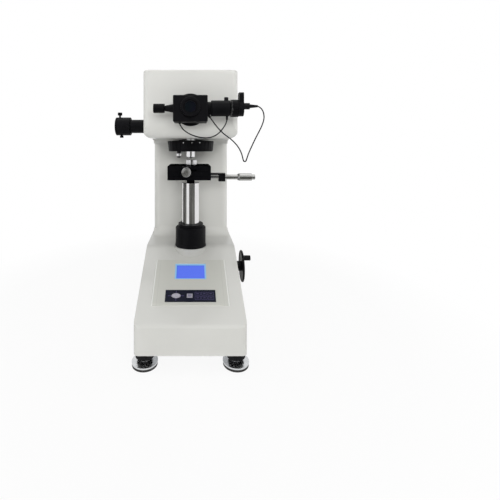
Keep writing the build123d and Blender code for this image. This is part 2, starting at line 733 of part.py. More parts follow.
def cover_screws():
    """Pan-head screws round the rear cover."""
    half = REAR_OPENING_WIDTH / 2 + REAR_COVER_LAP / 2
    low = REAR_OPENING_BOTTOM_Z - REAR_COVER_LAP / 2
    high = REAR_OPENING_TOP_Z + REAR_COVER_LAP / 2
    heads = []
    for x in (-half, half):
        for z in (low, (low + high) / 2, high):
            head = rod_y(SCREW_HEAD_RADIUS, REAR_FACE_Y, REAR_FACE_Y + SCREW_HEAD_HEIGHT, x, z)
            heads.append(head)
    return group(*heads)


# ---- feet ----
def foot_pads():
    """Rubber rings under the four feet."""
    return group(*[rod_z(FOOT_PAD_RADIUS, 0, FOOT_PAD_HEIGHT, x, y) for x, y in foot_places()])


def foot_dishes():
    """Four dished steel feet, each with a socket for its stud."""
    socket = FOOT_STUD_RADIUS + RUNNING_GAP
    rim = FOOT_PAD_HEIGHT + 1.2
    points = [
        (0, FOOT_PAD_HEIGHT),
        (FOOT_PAD_RADIUS, FOOT_PAD_HEIGHT),
        (FOOT_DISH_RADIUS, rim),
        (FOOT_DISH_RADIUS, rim + 1.8),
        (FOOT_STUD_RADIUS + 4, DISH_TOP_Z),
        (FOOT_STUD_RADIUS + 4, KNOB_BOTTOM_Z - FOOT_GAP),
        (socket, KNOB_BOTTOM_Z - FOOT_GAP),
        (socket, DISH_TOP_Z - 2),
        (0, DISH_TOP_Z - 2),
    ]
    dish = turned(points)
    return group(*[Pos(x, y, 0) * dish for x, y in foot_places()])


def foot_knob(x, y):
    """A knurled levelling knob with its stud."""
    knob = rod_z(FOOT_KNOB_RADIUS, KNOB_BOTTOM_Z, KNOB_TOP_Z)
    knob = bore_group(knob, fluted(FOOT_KNOB_RADIUS + 0.3, FOOT_FLUTE_RADIUS, FOOT_KNOB_FLUTES,
                                   KNOB_BOTTOM_Z - 1, KNOB_TOP_Z + 1))
    stud = rod_z(FOOT_STUD_RADIUS, DISH_TOP_Z - 2 + FOOT_GAP, BASE_UNDERSIDE_Z + FOOT_BOSS_HEIGHT - 6)
    return Pos(x, y, 0) * (knob + stud)


# ---- operating panel ----
def panel_recess():
    """The pocket in the slope that the panel sits in."""
    seat = block(-PANEL_WIDTH / 2, PANEL_WIDTH / 2, PANEL_CENTRE_S - PANEL_LENGTH / 2,
                 PANEL_CENTRE_S + PANEL_LENGTH / 2, -(PANEL_THICKNESS - PANEL_RISE), PANEL_THICKNESS)
    module = block(-BEZEL_WIDTH / 2, BEZEL_WIDTH / 2, SCREEN_S - BEZEL_LENGTH / 2, SCREEN_S + BEZEL_LENGTH / 2,
                   -2 * CASTING_WALL, 1)
    return on_slope(seat + module)


def control_panel():
    """The panel plate, bevelled all round, with its screen window and key wells."""
    low = -(PANEL_THICKNESS - PANEL_RISE)
    plate = block(-PANEL_WIDTH / 2, PANEL_WIDTH / 2, PANEL_CENTRE_S - PANEL_LENGTH / 2,
                  PANEL_CENTRE_S + PANEL_LENGTH / 2, low, PANEL_RISE)
    plate = chamfer(plate.edges().group_by(Axis.Z)[-1], PANEL_BEVEL)
    window = block(-SCREEN_WIDTH / 2, SCREEN_WIDTH / 2, SCREEN_S - SCREEN_LENGTH / 2,
                   SCREEN_S + SCREEN_LENGTH / 2, low - 1, PANEL_RISE + 1)
    wells = [window, key_outline(PANEL_RISE - KEY_DEPTH, PANEL_RISE + 1, KEY_CLEARANCE),
             square_outline(PANEL_RISE - KEY_DEPTH, PANEL_RISE + 1, KEY_CLEARANCE)]
    return on_slope(bore_group(plate, wells))


def lcd_screen():
    """The display module behind the window."""
    top = PANEL_RISE - SCREEN_RECESS
    low = -(PANEL_THICKNESS - PANEL_RISE)
    glass = block(-SCREEN_WIDTH / 2, SCREEN_WIDTH / 2, SCREEN_S - SCREEN_LENGTH / 2,
                  SCREEN_S + SCREEN_LENGTH / 2, low, top)
    frame = block(-BEZEL_WIDTH / 2, BEZEL_WIDTH / 2, SCREEN_S - BEZEL_LENGTH / 2,
                  SCREEN_S + BEZEL_LENGTH / 2, low - SCREEN_THICKNESS, low)
    return on_slope(glass + frame)


def key_outline(z0, z1, extra):
    """The oval pad key's outline, as a prism between two heights."""
    oval = Pos(PAD_KEY_X, KEYPAD_S, z0) * Ellipse(PAD_KEY_LENGTH / 2 + extra, PAD_KEY_WIDTH / 2 + extra)
    return extrude(oval, z1 - z0)


def square_outline(z0, z1, extra):
    """The square key's outline, as a prism between two heights."""
    half_x = SQUARE_KEY_WIDTH / 2 + extra
    half_y = SQUARE_KEY_LENGTH / 2 + extra
    return block(SQUARE_KEY_X - half_x, SQUARE_KEY_X + half_x, KEYPAD_S - half_y, KEYPAD_S + half_y, z0, z1)


def keypad_overlay():
    """The dark overlay round the keys."""
    top = PANEL_RISE + KEYPAD_RISE
    sheet = block(-KEYPAD_WIDTH / 2, KEYPAD_WIDTH / 2, KEYPAD_S - KEYPAD_LENGTH / 2,
                  KEYPAD_S + KEYPAD_LENGTH / 2, PANEL_RISE, top)
    wells = [key_outline(PANEL_RISE - 1, top + 1, KEY_CLEARANCE), square_outline(PANEL_RISE - 1, top + 1, KEY_CLEARANCE)]
    return on_slope(bore_group(sheet, wells))


def pad_key():
    """The oval direction key."""
    bottom = PANEL_RISE - KEY_DEPTH + KEY_TRAVEL + KEY_CLEARANCE
    return on_slope(key_outline(bottom, PANEL_RISE + KEY_RISE, 0))


def square_key():
    """The square test key."""
    bottom = PANEL_RISE - KEY_DEPTH + KEY_TRAVEL + KEY_CLEARANCE
    return on_slope(square_outline(bottom, PANEL_RISE + KEY_RISE, 0))


def control_board():
    """The circuit board on its four standoffs, on the bottom plate."""
    x = BOARD_WIDTH / 2
    y0 = BOARD_CENTRE_Y - BOARD_LENGTH / 2
    y1 = BOARD_CENTRE_Y + BOARD_LENGTH / 2
    board = block(-x, x, y0, y1, BOARD_Z, BOARD_Z + BOARD_THICKNESS)
    floor = BASE_UNDERSIDE_Z + BOTTOM_PLATE_THICKNESS
    inset = 2 * STANDOFF_RADIUS
    for post_x in (inset - x, x - inset):
        for post_y in (y0 + inset, y1 - inset):
            board = board + rod_z(STANDOFF_RADIUS, floor, BOARD_Z + 1, post_x, post_y)
    chip = block(-x / 4, x / 4, BOARD_CENTRE_Y - x / 4, BOARD_CENTRE_Y + x / 4, BOARD_Z + 1, BOARD_Z + 2 * BOARD_THICKNESS)
    return board + chip


# ---- bevel gears of the elevating drive ----
def bevel_tooth(pitch_angle):
    """One straight tooth whose cone points at the origin, its middle in the XZ plane, axis along Z."""
    slant = Vector(sin(radians(pitch_angle)), 0, cos(radians(pitch_angle)))
    outward = Vector(cos(radians(pitch_angle)), 0, -sin(radians(pitch_angle)))
    across = Vector(0, 1, 0)
    half = TOOTH_PITCH_SHARE * pi * GEAR_MODULE / 2
    lean = tan(radians(PRESSURE_ANGLE))
    tip = TOOTH_ADDENDUM * GEAR_MODULE
    root = TOOTH_DEDENDUM * GEAR_MODULE * 1.15
    sections = []
    for distance in (CONE_LENGTH, CONE_LENGTH - GEAR_FACE):
        scale = distance / CONE_LENGTH
        corners = []
        for height, side in ((-root, -1), (tip, -1), (tip, 1), (-root, 1)):
            width = (half - height * lean) * side
            corners.append((slant * CONE_LENGTH + outward * height + across * width) * scale)
        sections.append(make_face(Polyline(*corners, close=True)))
    return loft(sections, ruled=True)


def bevel_blank(pitch_angle, back, bore):
    """The gear's body below the tooth roots, from the root cone to its flat back."""
    root = TOOTH_DEDENDUM * GEAR_MODULE
    radial = cos(radians(pitch_angle))
    along = sin(radians(pitch_angle))
    outer_r = CONE_LENGTH * along - root * radial
    outer_z = CONE_LENGTH * radial + root * along
    share = (CONE_LENGTH - GEAR_FACE) / CONE_LENGTH
    return turned([
        (bore, outer_z * share),
        (outer_r * share, outer_z * share),
        (outer_r, outer_z),
        (outer_r + root / 2, outer_z + root / 2),
        (outer_r + root / 2, back),
        (bore, back),
    ])


def bevel_gear(teeth, pitch_angle, back, bore, first):
    """A straight bevel gear about Z with its apex at the origin."""
    gear = bevel_blank(pitch_angle, back, bore)
    tooth = bevel_tooth(pitch_angle)
    for i in range(teeth):
        gear = gear + Rot(0, 0, first + 360 * i / teeth) * tooth
    return gear


def lift_nut():
    """The elevating nut with its bevel gear, teeth up."""
    pitch_angle = degrees(atan2(GEAR_TEETH, PINION_TEETH))
    back = GEAR_RADIUS * PINION_TEETH / GEAR_TEETH + GEAR_BLANK_DEPTH
    gear = bevel_gear(GEAR_TEETH, pitch_angle, back, SCREW_RADIUS + RUNNING_GAP, 180 / GEAR_TEETH)
    gear = Pos(0, 0, WHEEL_AXIS_Z) * Rot(180, 0, 0) * gear
    sleeve = rod_z(NUT_RADIUS, NUT_BOTTOM_Z + THRUST_GAP, NUT_TOP_Z)
    nut = sleeve + gear
    return nut - rod_z(SCREW_RADIUS + RUNNING_GAP, NUT_BOTTOM_Z - 1, NUT_TOP_Z + 1)


def bevel_pinion():
    """The pinion on the hand wheel's shaft."""
    pitch_angle = degrees(atan2(PINION_TEETH, GEAR_TEETH))
    back = GEAR_RADIUS + GEAR_BLANK_DEPTH
    pinion = bevel_gear(PINION_TEETH, pitch_angle, back, SHAFT_RADIUS / 2, 0)
    pinion = Pos(0, 0, WHEEL_AXIS_Z) * Rot(0, 90, 0) * pinion
    return pinion - rod_x(SHAFT_RADIUS, 0, BASE_WIDTH, z=WHEEL_AXIS_Z)


def lift_housing():
    """The cup under the base's top that carries the nut, open where the pinion reaches in."""
    roof = BASE_TOP_Z - CASTING_WALL - 1
    inner = HOUSING_RADIUS - HOUSING_WALL
    cup = rod_z(HOUSING_RADIUS, HOUSING_BOTTOM_Z, roof)
    cup = cup - rod_z(inner, HOUSING_BOTTOM_Z + HOUSING_FLOOR, roof + 1)
    cup = cup - rod_z(SCREW_RADIUS + 1, 0, roof)
    reach = PINION_RADIUS + 2 * GEAR_MODULE
    mouth = block(NUT_RADIUS + KEY_CLEARANCE, HOUSING_RADIUS + 1, -reach, reach, WHEEL_AXIS_Z - reach,
                  WHEEL_AXIS_Z + reach)
    wall = block(-BASE_WIDTH, BASE_WIDTH, -BASE_WIDTH, 2 * BASE_WIDTH, -CASTING_WALL - KEY_CLEARANCE, BASE_WIDTH)
    return cup - mouth - on_slope(wall)


def thrust_bearing():
    """The ring that the nut turns on."""
    ring = rod_z(NUT_RADIUS, HOUSING_BOTTOM_Z + HOUSING_FLOOR, NUT_BOTTOM_Z)
    return ring - rod_z(SCREW_RADIUS + 1, 0, NUT_TOP_Z)


def guide_bush():
    """The flanged bush that guides the screw, with the key that stops it turning."""
    points = [
        (SCREW_RADIUS + RUNNING_GAP, BASE_TOP_Z - CASTING_WALL - 1),
        (GUIDE_BORE_RADIUS, BASE_TOP_Z - CASTING_WALL - 1),
        (GUIDE_BORE_RADIUS, BASE_TOP_Z),
        (GUIDE_FLANGE_RADIUS, BASE_TOP_Z),
        (GUIDE_FLANGE_RADIUS, BASE_TOP_Z + GUIDE_FLANGE_HEIGHT),
        (GUIDE_SLEEVE_RADIUS, BASE_TOP_Z + GUIDE_FLANGE_HEIGHT),
        (GUIDE_SLEEVE_RADIUS, GUIDE_TOP_Z),
        (SCREW_RADIUS + RUNNING_GAP, GUIDE_TOP_Z),
    ]
    inner = SCREW_RADIUS - KEYWAY_DEPTH + KEY_CLEARANCE
    half = KEYWAY_WIDTH / 2 - KEY_CLEARANCE
    key = block(inner, SCREW_RADIUS + 2, -half, half, GUIDE_TOP_Z - 20, GUIDE_TOP_Z)
    return turned(points) + Rot(0, 0, KEYWAY_ANGLE) * key


def dust_cover():
    """The black cup over the guide bush, flared at its foot, with its collar round the screw."""
    outer = DUST_COVER_RADIUS
    inner = outer - DUST_COVER_WALL
    bore = SCREW_RADIUS + DUST_COLLAR_GAP
    points = [
        (inner, BASE_TOP_Z),
        (outer + DUST_COVER_FLARE, BASE_TOP_Z),
        (outer, BASE_TOP_Z + 6),
        (outer, DUST_COVER_TOP_Z - 2),
        (outer - 2, DUST_COVER_TOP_Z),
        (DUST_COLLAR_RADIUS, DUST_COVER_TOP_Z),
        (DUST_COLLAR_RADIUS, DUST_COLLAR_TOP_Z),
        (bore, DUST_COLLAR_TOP_Z),
        (bore, DUST_COVER_TOP_Z - DUST_COVER_WALL),
        (inner, DUST_COVER_TOP_Z - DUST_COVER_WALL),
    ]
    return turned(points)


def elevating_screw():
    """The elevating column with its keyway and the seat for the stage's neck."""
    screw = rod_z(SCREW_RADIUS, SCREW_BOTTOM_Z, SCREW_TOP_Z)
    screw = chamfer(screw.edges().filter_by(GeomType.CIRCLE), 1)
    half = KEYWAY_WIDTH / 2
    keyway = block(SCREW_RADIUS - KEYWAY_DEPTH, SCREW_RADIUS + 1, -half, half, SCREW_BOTTOM_Z - 1, SCREW_TOP_Z - 12)
    seat = rod_z(STAGE_NECK_RADIUS, SCREW_TOP_Z - STAGE_NECK_DEPTH, SCREW_TOP_Z + 1)
    return screw - Rot(0, 0, KEYWAY_ANGLE) * keyway - seat


# ---- hand wheel ----
def shaft_bush():
    """The flanged bush of the hand wheel's shaft."""
    outside = BASE_WIDTH / 2
    bush = rod_x(SHAFT_BUSH_RADIUS, SHAFT_BUSH_INNER_X, outside, z=WHEEL_AXIS_Z)
    bush = bush + rod_x(SHAFT_BUSH_FLANGE_RADIUS, outside, outside + SHAFT_BUSH_FLANGE, z=WHEEL_AXIS_Z)
    return bush - rod_x(SHAFT_RADIUS + RUNNING_GAP, 0, BASE_WIDTH, z=WHEEL_AXIS_Z)


def drive_shaft():
    """The cross shaft from the pinion to the hand wheel."""
    start = GEAR_RADIUS - GEAR_FACE
    return rod_x(SHAFT_RADIUS, start, WHEEL_HUB_END_X - 1, z=WHEEL_AXIS_Z)


def crank_place():
    """The Y and Z of the crank handle's axis."""
    angle = radians(CRANK_ANGLE)
    return CRANK_RADIUS * cos(angle), WHEEL_AXIS_Z + CRANK_RADIUS * sin(angle)


def hand_wheel():
    """The dished hand wheel with its hub, web, rim and crank pin."""
    hub_start = BASE_WIDTH / 2 + SHAFT_BUSH_FLANGE + FOOT_GAP
    rim = Torus(WHEEL_RADIUS - WHEEL_RIM_RADIUS, WHEEL_RIM_RADIUS, rotation=(0, 90, 0))
    rim = Pos(WHEEL_RIM_X, 0, WHEEL_AXIS_Z) * rim
    hub = rod_x(WHEEL_HUB_RADIUS, hub_start, WHEEL_HUB_END_X, z=WHEEL_AXIS_Z)
    web = rod_x(WHEEL_RADIUS - WHEEL_RIM_RADIUS, WHEEL_RIM_X - WHEEL_WEB / 2, WHEEL_RIM_X + WHEEL_WEB / 2,
                z=WHEEL_AXIS_Z)
    wheel = hub + web + rim
    y, z = crank_place()
    pin = rod_x(CRANK_PIN_RADIUS, WHEEL_RIM_X, WHEEL_RIM_X + WHEEL_WEB / 2 + CRANK_HANDLE_LENGTH - 2, y, z)
    wheel = wheel + pin
    return wheel - rod_x(SHAFT_RADIUS, 0, WHEEL_HUB_END_X - 1, z=WHEEL_AXIS_Z)


def crank_handle():
    """The loose grip on the crank pin."""
    y, z = crank_place()
    start = WHEEL_RIM_X + WHEEL_WEB / 2 + FOOT_GAP
    grip = rod_x(CRANK_HANDLE_RADIUS, start, start + CRANK_HANDLE_LENGTH, y, z)
    grip = fillet(grip.edges().filter_by(GeomType.CIRCLE), 1.2)
    return grip - rod_x(CRANK_PIN_RADIUS + RUNNING_GAP, 0, start + CRANK_HANDLE_LENGTH - 2, y, z)


# ---- XY stage ----
def dovetail(start, end, extra):
    """A dovetail rail along X from start to end, wider at its top, standing on Z = 0."""
    low = DOVETAIL_WIDTH / 2 - DOVETAIL_LEAN + extra
    high = DOVETAIL_WIDTH / 2 + extra
    top = DOVETAIL_HEIGHT + extra
    face = make_face(Plane.YZ * Polyline([(-low, 0), (low, 0), (high, top), (-high, top)], close=True))
    return Pos(start, 0, 0) * extrude(face, end - start)


def stage_base():
    """The stage's fixed plate, its neck in the screw and its X rail."""
    left = STAGE_X_REST - STAGE_WIDTH / 2
    rail_end = STAGE_SIDE_X - X_TRAVEL_IN - FOOT_GAP
    top = STAGE_BOTTOM_Z + STAGE_BASE_HEIGHT
    plate = block(left, STAGE_SIDE_X, -STAGE_DEPTH / 2, STAGE_DEPTH / 2, STAGE_BOTTOM_Z, top)
    neck = rod_z(STAGE_NECK_RADIUS, SCREW_TOP_Z - STAGE_NECK_DEPTH, STAGE_BOTTOM_Z)
    return plate + neck + Pos(0, 0, top) * dovetail(left, rail_end, 0)


def x_carriage():
    """The carriage that slides along X, with the Y rail on top."""
    half_x = STAGE_WIDTH / 2
    half_y = STAGE_DEPTH / 2
    slab = block(-half_x, half_x, -half_y, half_y, STAGE_X_Z, STAGE_X_Z + STAGE_X_HEIGHT)
    groove = Pos(0, 0, STAGE_X_Z - STAGE_GAP) * dovetail(-STAGE_WIDTH, STAGE_WIDTH, DOVETAIL_GAP)
    rail_start = Y_TRAVEL + FOOT_GAP - half_y
    rail = Pos(0, 0, STAGE_X_Z + STAGE_X_HEIGHT) * Rot(0, 0, 90) * dovetail(rail_start, half_y, 0)
    return Pos(STAGE_X_REST, 0, 0) * (slab - groove + rail)


def y_table():
    """The table that slides along Y, with two clamp slots that stop short of its front."""
    half_x = STAGE_WIDTH / 2
    half_y = STAGE_DEPTH / 2
    slab = block(-half_x, half_x, -half_y, half_y, STAGE_Y_Z, STAGE_TOP_Z)
    slab = chamfer(slab.edges().group_by(Axis.Z)[-1], 0.8)
    groove = Pos(0, 0, STAGE_Y_Z - STAGE_GAP) * Rot(0, 0, 90) * dovetail(-STAGE_DEPTH, STAGE_DEPTH, DOVETAIL_GAP)
    slab = slab - groove
    for side in (-1, 1):
        x = side * TABLE_SLOT_OFFSET
        slab = slab - block(x - TABLE_SLOT_WIDTH / 2, x + TABLE_SLOT_WIDTH / 2, TABLE_SLOT_END - half_y, STAGE_DEPTH,
                            STAGE_TOP_Z - TABLE_SLOT_DEPTH, STAGE_TOP_Z + 1)
    return Pos(STAGE_X_REST, 0, 0) * slab


def test_block():
    """The polished round reference block."""
    disc = rod_z(BLOCK_RADIUS, STAGE_TOP_Z, STAGE_TOP_Z + BLOCK_HEIGHT, BLOCK_X, 0)
    return chamfer(disc.edges().filter_by(GeomType.CIRCLE), 0.5)


def micrometer_mount(arm_low, arm_high, axis_drop):
    """The arm, clamp and barrel of a micrometer along +X from the stage's side, axis on Z = 0."""
    arm = block(0, MIC_ARM_LENGTH, -MIC_ARM_WIDTH / 2, MIC_ARM_WIDTH / 2, arm_low, arm_high)
    start = MIC_ARM_LENGTH - MIC_CLAMP_LENGTH
    clamp = block(start, MIC_ARM_LENGTH, -MIC_CLAMP_WIDTH / 2, MIC_CLAMP_WIDTH / 2, axis_drop,
                  axis_drop + MIC_CLAMP_HEIGHT)
    barrel = rod_x(MIC_BARREL_RADIUS, start, MIC_ARM_LENGTH + MIC_BARREL_LENGTH)
    bore = rod_x(MIC_SPINDLE_RADIUS + RUNNING_GAP, -1, 2 * MIC_THIMBLE_START)
    hole = rod_x(MIC_BARREL_RADIUS, start - 1, MIC_ARM_LENGTH + 1)
    return arm + clamp - hole, barrel - bore


def micrometer_thimble():
    """The thimble, its spindle and ratchet along +X, the spindle's tip at X = 0."""
    end = MIC_THIMBLE_START + MIC_THIMBLE_LENGTH
    inner = MIC_THIMBLE_RADIUS - MIC_THIMBLE_WALL
    bottom = end - MIC_THIMBLE_CAP
    bevel = MIC_THIMBLE_START + 4
    points = [
        (0, 0),
        (MIC_SPINDLE_RADIUS, 0),
        (MIC_SPINDLE_RADIUS, bottom),
        (inner, bottom),
        (inner, MIC_THIMBLE_START),
        (inner + 0.6, MIC_THIMBLE_START),
        (MIC_THIMBLE_RADIUS, bevel),
        (MIC_THIMBLE_RADIUS, end - 1),
        (MIC_THIMBLE_RADIUS - 1, end),
        (MIC_RATCHET_RADIUS, end),
        (MIC_RATCHET_RADIUS, end + MIC_RATCHET_LENGTH - 0.6),
        (MIC_RATCHET_RADIUS - 0.6, end + MIC_RATCHET_LENGTH),
        (0, end + MIC_RATCHET_LENGTH),
    ]
    return turned_x(points)


def x_place():
    """From the micrometer's own frame to the stage's right side."""
    return Pos(STAGE_SIDE_X, 0, MIC_X_AXIS_Z)


def y_place():
    """From the micrometer's own frame to the stage's front."""
    return Pos(MIC_Y_AXIS_X, -STAGE_DEPTH / 2, MIC_Y_AXIS_Z) * Rot(0, 0, -90)


def x_mount():
    """The X micrometer's arm and barrel, which ride on the X carriage."""
    low = STAGE_X_Z - MIC_X_AXIS_Z
    bracket, barrel = micrometer_mount(low, low + MIC_ARM_HEIGHT, low + MIC_ARM_HEIGHT - MIC_CLAMP_HEIGHT)
    return x_place() * bracket, x_place() * barrel


def y_mount():
    """The Y micrometer's arm and barrel, which ride on the X carriage."""
    high = STAGE_X_Z + STAGE_X_HEIGHT - MIC_Y_AXIS_Z
    low = high - MIC_ARM_HEIGHT - 1
    bracket, barrel = micrometer_mount(low, high, STAGE_TOP_Z - MIC_Y_AXIS_Z - MIC_CLAMP_HEIGHT)
    return y_place() * bracket, y_place() * barrel


# ---- turret ----
def turret():
    """The knurled turret with its three stations and the sink for the pivot's head."""
    points = [
        (TURRET_PIVOT_RADIUS + RUNNING_GAP, TURRET_BOTTOM_Z),
        (TURRET_BOTTOM_RADIUS - 1, TURRET_BOTTOM_Z),
        (TURRET_BOTTOM_RADIUS, TURRET_BOTTOM_Z + 1),
        (TURRET_TOP_RADIUS, TURRET_RIM_Z - 1),
        (TURRET_TOP_RADIUS - 1, TURRET_RIM_Z),
        (TURRET_CROWN_RADIUS, TURRET_CROWN_Z),
        (TURRET_PIVOT_RADIUS + RUNNING_GAP, TURRET_CROWN_Z),
    ]
    body = turned(points)
    lean = degrees(atan2(TURRET_TOP_RADIUS - TURRET_BOTTOM_RADIUS, TURRET_RIM_Z - TURRET_BOTTOM_Z))
    middle = (TURRET_RIM_Z + TURRET_BOTTOM_Z) / 2
    for i in range(TURRET_FLUTES):
        flute = Pos((TURRET_TOP_RADIUS + TURRET_BOTTOM_RADIUS) / 2 + TURRET_FLUTE_RADIUS / 2, 0, middle)
        flute = flute * Rot(0, lean, 0) * Cylinder(TURRET_FLUTE_RADIUS, 2 * (TURRET_RIM_Z - TURRET_BOTTOM_Z))
        body = body - Rot(0, 0, 360 * (i + 0.5) / TURRET_FLUTES) * flute
    sink = rod_z(TURRET_PIVOT_HEAD_RADIUS + KEY_CLEARANCE, TURRET_BOTTOM_Z - 1, TURRET_BOTTOM_Z + TURRET_PIVOT_HEAD + 1)
    cuts = [sink]
    for x, y in ((0, -STATION_RADIUS), (-STATION_RADIUS, 0), (0, STATION_RADIUS)):
        cuts.append(rod_z(STATION_SINK_RADIUS, STATION_SINK_Z, TURRET_CROWN_Z + 1, x, y))
    cuts.append(rod_z(INDENTER_ROD_RADIUS + RUNNING_GAP, TURRET_BOTTOM_Z - 1, TURRET_CROWN_Z, 0, -STATION_RADIUS))
    for x, y in ((-STATION_RADIUS, 0), (0, STATION_RADIUS)):
        cuts.append(rod_z(OBJECTIVE_SEAT_RADIUS, TURRET_BOTTOM_Z - 1, TURRET_CROWN_Z, x, y))
    return Pos(0, TURRET_Y, 0) * bore_group(body, cuts)


def turret_pivot():
    """The shouldered pivot screw that hangs the turret under the head."""
    shaft = rod_z(TURRET_PIVOT_RADIUS, TURRET_BOTTOM_Z + 1, HEAD_FLOOR_Z, 0, TURRET_Y)
    head = rod_z(TURRET_PIVOT_HEAD_RADIUS, TURRET_BOTTOM_Z + KEY_CLEARANCE, TURRET_BOTTOM_Z + TURRET_PIVOT_HEAD, 0, TURRET_Y)
    nut = rod_z(TURRET_PIVOT_RADIUS + 2, HEAD_FLOOR_Z, HEAD_FLOOR_Z + TURRET_NUT_HEIGHT, 0, TURRET_Y)
    return shaft + head + nut


def objective(tip_z):
    """An objective seated in the turret, its axis on Z."""
    step = (TURRET_BOTTOM_Z - tip_z) / 3
    barrel = turned([
        (LIGHT_HOLE_RADIUS, tip_z + 1),
        (OBJECTIVE_NOSE_RADIUS - 1.4, tip_z),
        (OBJECTIVE_NOSE_RADIUS, tip_z + 1.5),
        (OBJECTIVE_NOSE_RADIUS, tip_z + step),
        (OBJECTIVE_RING_RADIUS, tip_z + step),
        (OBJECTIVE_RING_RADIUS, tip_z + 2 * step),
        (OBJECTIVE_NOSE_RADIUS, tip_z + 2 * step),
        (OBJECTIVE_NOSE_RADIUS, TURRET_BOTTOM_Z),
        (OBJECTIVE_SEAT_RADIUS, TURRET_BOTTOM_Z),
        (OBJECTIVE_SEAT_RADIUS, STATION_SINK_Z),
        (LIGHT_HOLE_RADIUS, STATION_SINK_Z),
    ])
    return barrel


def objective_low():
    """The 10x objective at the left of the turret."""
    return Pos(-STATION_RADIUS, TURRET_Y, 0) * objective(OBJECTIVE_LOW_TIP_Z)


def objective_high():
    """The 40x objective at the back of the turret."""
    return Pos(0, TURRET_Y + STATION_RADIUS, 0) * objective(OBJECTIVE_HIGH_TIP_Z)


def indenter():
    """The indenter: cap, guide rod, chromed holder and diamond."""
    cap_low = INDENTER_CAP_TOP_Z - INDENTER_CAP_HEIGHT
    holder_top = TURRET_BOTTOM_Z - KEY_CLEARANCE
    points = [
        (0, INDENTER_TIP_Z),
        (2.2, INDENTER_BOTTOM_Z),
        (INDENTER_RADIUS - 1, INDENTER_BOTTOM_Z),
        (INDENTER_RADIUS, INDENTER_BOTTOM_Z + 1),
        (INDENTER_RADIUS, holder_top),
        (INDENTER_ROD_RADIUS, holder_top),
        (INDENTER_ROD_RADIUS, cap_low),
        (INDENTER_CAP_RADIUS, cap_low),
        (INDENTER_CAP_RADIUS, INDENTER_CAP_TOP_Z),
        (0, INDENTER_CAP_TOP_Z),
    ]
    return turned(points)


# ---- loading train ----
def spindle_guide():
    """The bush of the loading spindle in the head's floor."""
    bush = rod_z(SPINDLE_GUIDE_RADIUS, THROAT_TOP_Z, HEAD_FLOOR_Z)
    return bush - rod_z(SPINDLE_RADIUS + RUNNING_GAP, 0, HEAD_FLOOR_Z + 1)


def load_spindle():
    """The hollow spindle: light passes through it, and its rim presses the indenter."""
    tube = rod_z(SPINDLE_RADIUS, THROAT_TOP_Z, SPINDLE_TOP_Z)
    collar = rod_z(SPINDLE_COLLAR_RADIUS, SPINDLE_COLLAR_Z, SPINDLE_COLLAR_Z + SPINDLE_COLLAR_HEIGHT)
    return tube + collar - rod_z(SPINDLE_BORE_RADIUS, 0, SPINDLE_TOP_Z + 1)


def load_lever():
    """The lever with its ring over the spindle, its pivot eye and the nose that rides on the cam."""
    low = LEVER_Z - LEVER_HEIGHT / 2
    high = LEVER_Z + LEVER_HEIGHT / 2
    bar = block(-LEVER_WIDTH / 2, LEVER_WIDTH / 2, LEVER_PIVOT_Y, LEVER_END_Y, low, high)
    eye = rod_x(LEVER_HEIGHT / 2 + 1, -LEVER_WIDTH / 2, LEVER_WIDTH / 2, LEVER_PIVOT_Y, LEVER_Z)
    ring = rod_z(LEVER_RING_RADIUS, low, high)
    nose = rod_x(LEVER_NOSE_RADIUS, -LEVER_WIDTH / 2, LEVER_WIDTH / 2, LEVER_NOSE_Y, LEVER_Z)
    lever = bar + eye + ring + nose
    lever = lever - rod_z(LEVER_RING_BORE, low - 1, high + 1)
    return lever - rod_x(LEVER_PIN_RADIUS + RUNNING_GAP, -LEVER_WIDTH, LEVER_WIDTH, LEVER_PIVOT_Y, LEVER_Z)


def load_weights():
    """The weights on their rod under the lever's rear end."""
    low = LEVER_Z - LEVER_HEIGHT / 2
    bottom = WEIGHT_TOP_Z - WEIGHT_COUNT * WEIGHT_HEIGHT
    stack = rod_z(WEIGHT_ROD_RADIUS, bottom - 3, low, 0, WEIGHT_Y)
    for i in range(WEIGHT_COUNT):
        top = WEIGHT_TOP_Z - i * WEIGHT_HEIGHT
        stack = stack + rod_z(WEIGHT_RADIUS - 2 * i, top - WEIGHT_HEIGHT, top, 0, WEIGHT_Y)
    return stack


def lever_bearing():
    """The pedestal and pin that the lever swings on."""
    inner = LEVER_WIDTH / 2 + FOOT_GAP
    outer = inner + 6
    depth = LEVER_HEIGHT
    pedestal = rod_x(LEVER_PIN_RADIUS, -outer, outer, LEVER_PIVOT_Y, LEVER_Z)
    for side in (-1, 1):
        cheek = block(side * inner, side * outer, LEVER_PIVOT_Y - depth, LEVER_PIVOT_Y + depth, HEAD_FLOOR_Z,
                      LEVER_Z + LEVER_HEIGHT / 2)
        pedestal = pedestal + cheek
    return pedestal


def lift_cam():
    """The cam that lets the lever down evenly over half a turn, with its shaft."""
    points = []
    for angle in range(0, 360, 15):
        if angle <= 195:
            radius = CAM_TOP_RADIUS - CAM_LIFT * angle / 180
        else:
            radius = CAM_TOP_RADIUS - CAM_LIFT * 1.083 * (1 + cos(radians((angle - 195) * 180 / 165))) / 2
        points.append((radius * sin(radians(angle)), radius * cos(radians(angle))))
    face = make_face(Plane.YZ * Spline(points, periodic=True))
    cam = extrude(face, CAM_WIDTH / 2, both=True)
    cam = cam + rod_x(MOTOR_SHAFT_RADIUS, -CAM_WIDTH, CAM_WIDTH + 4)
    return Pos(0, LEVER_NOSE_Y, CAM_AXIS_Z) * cam


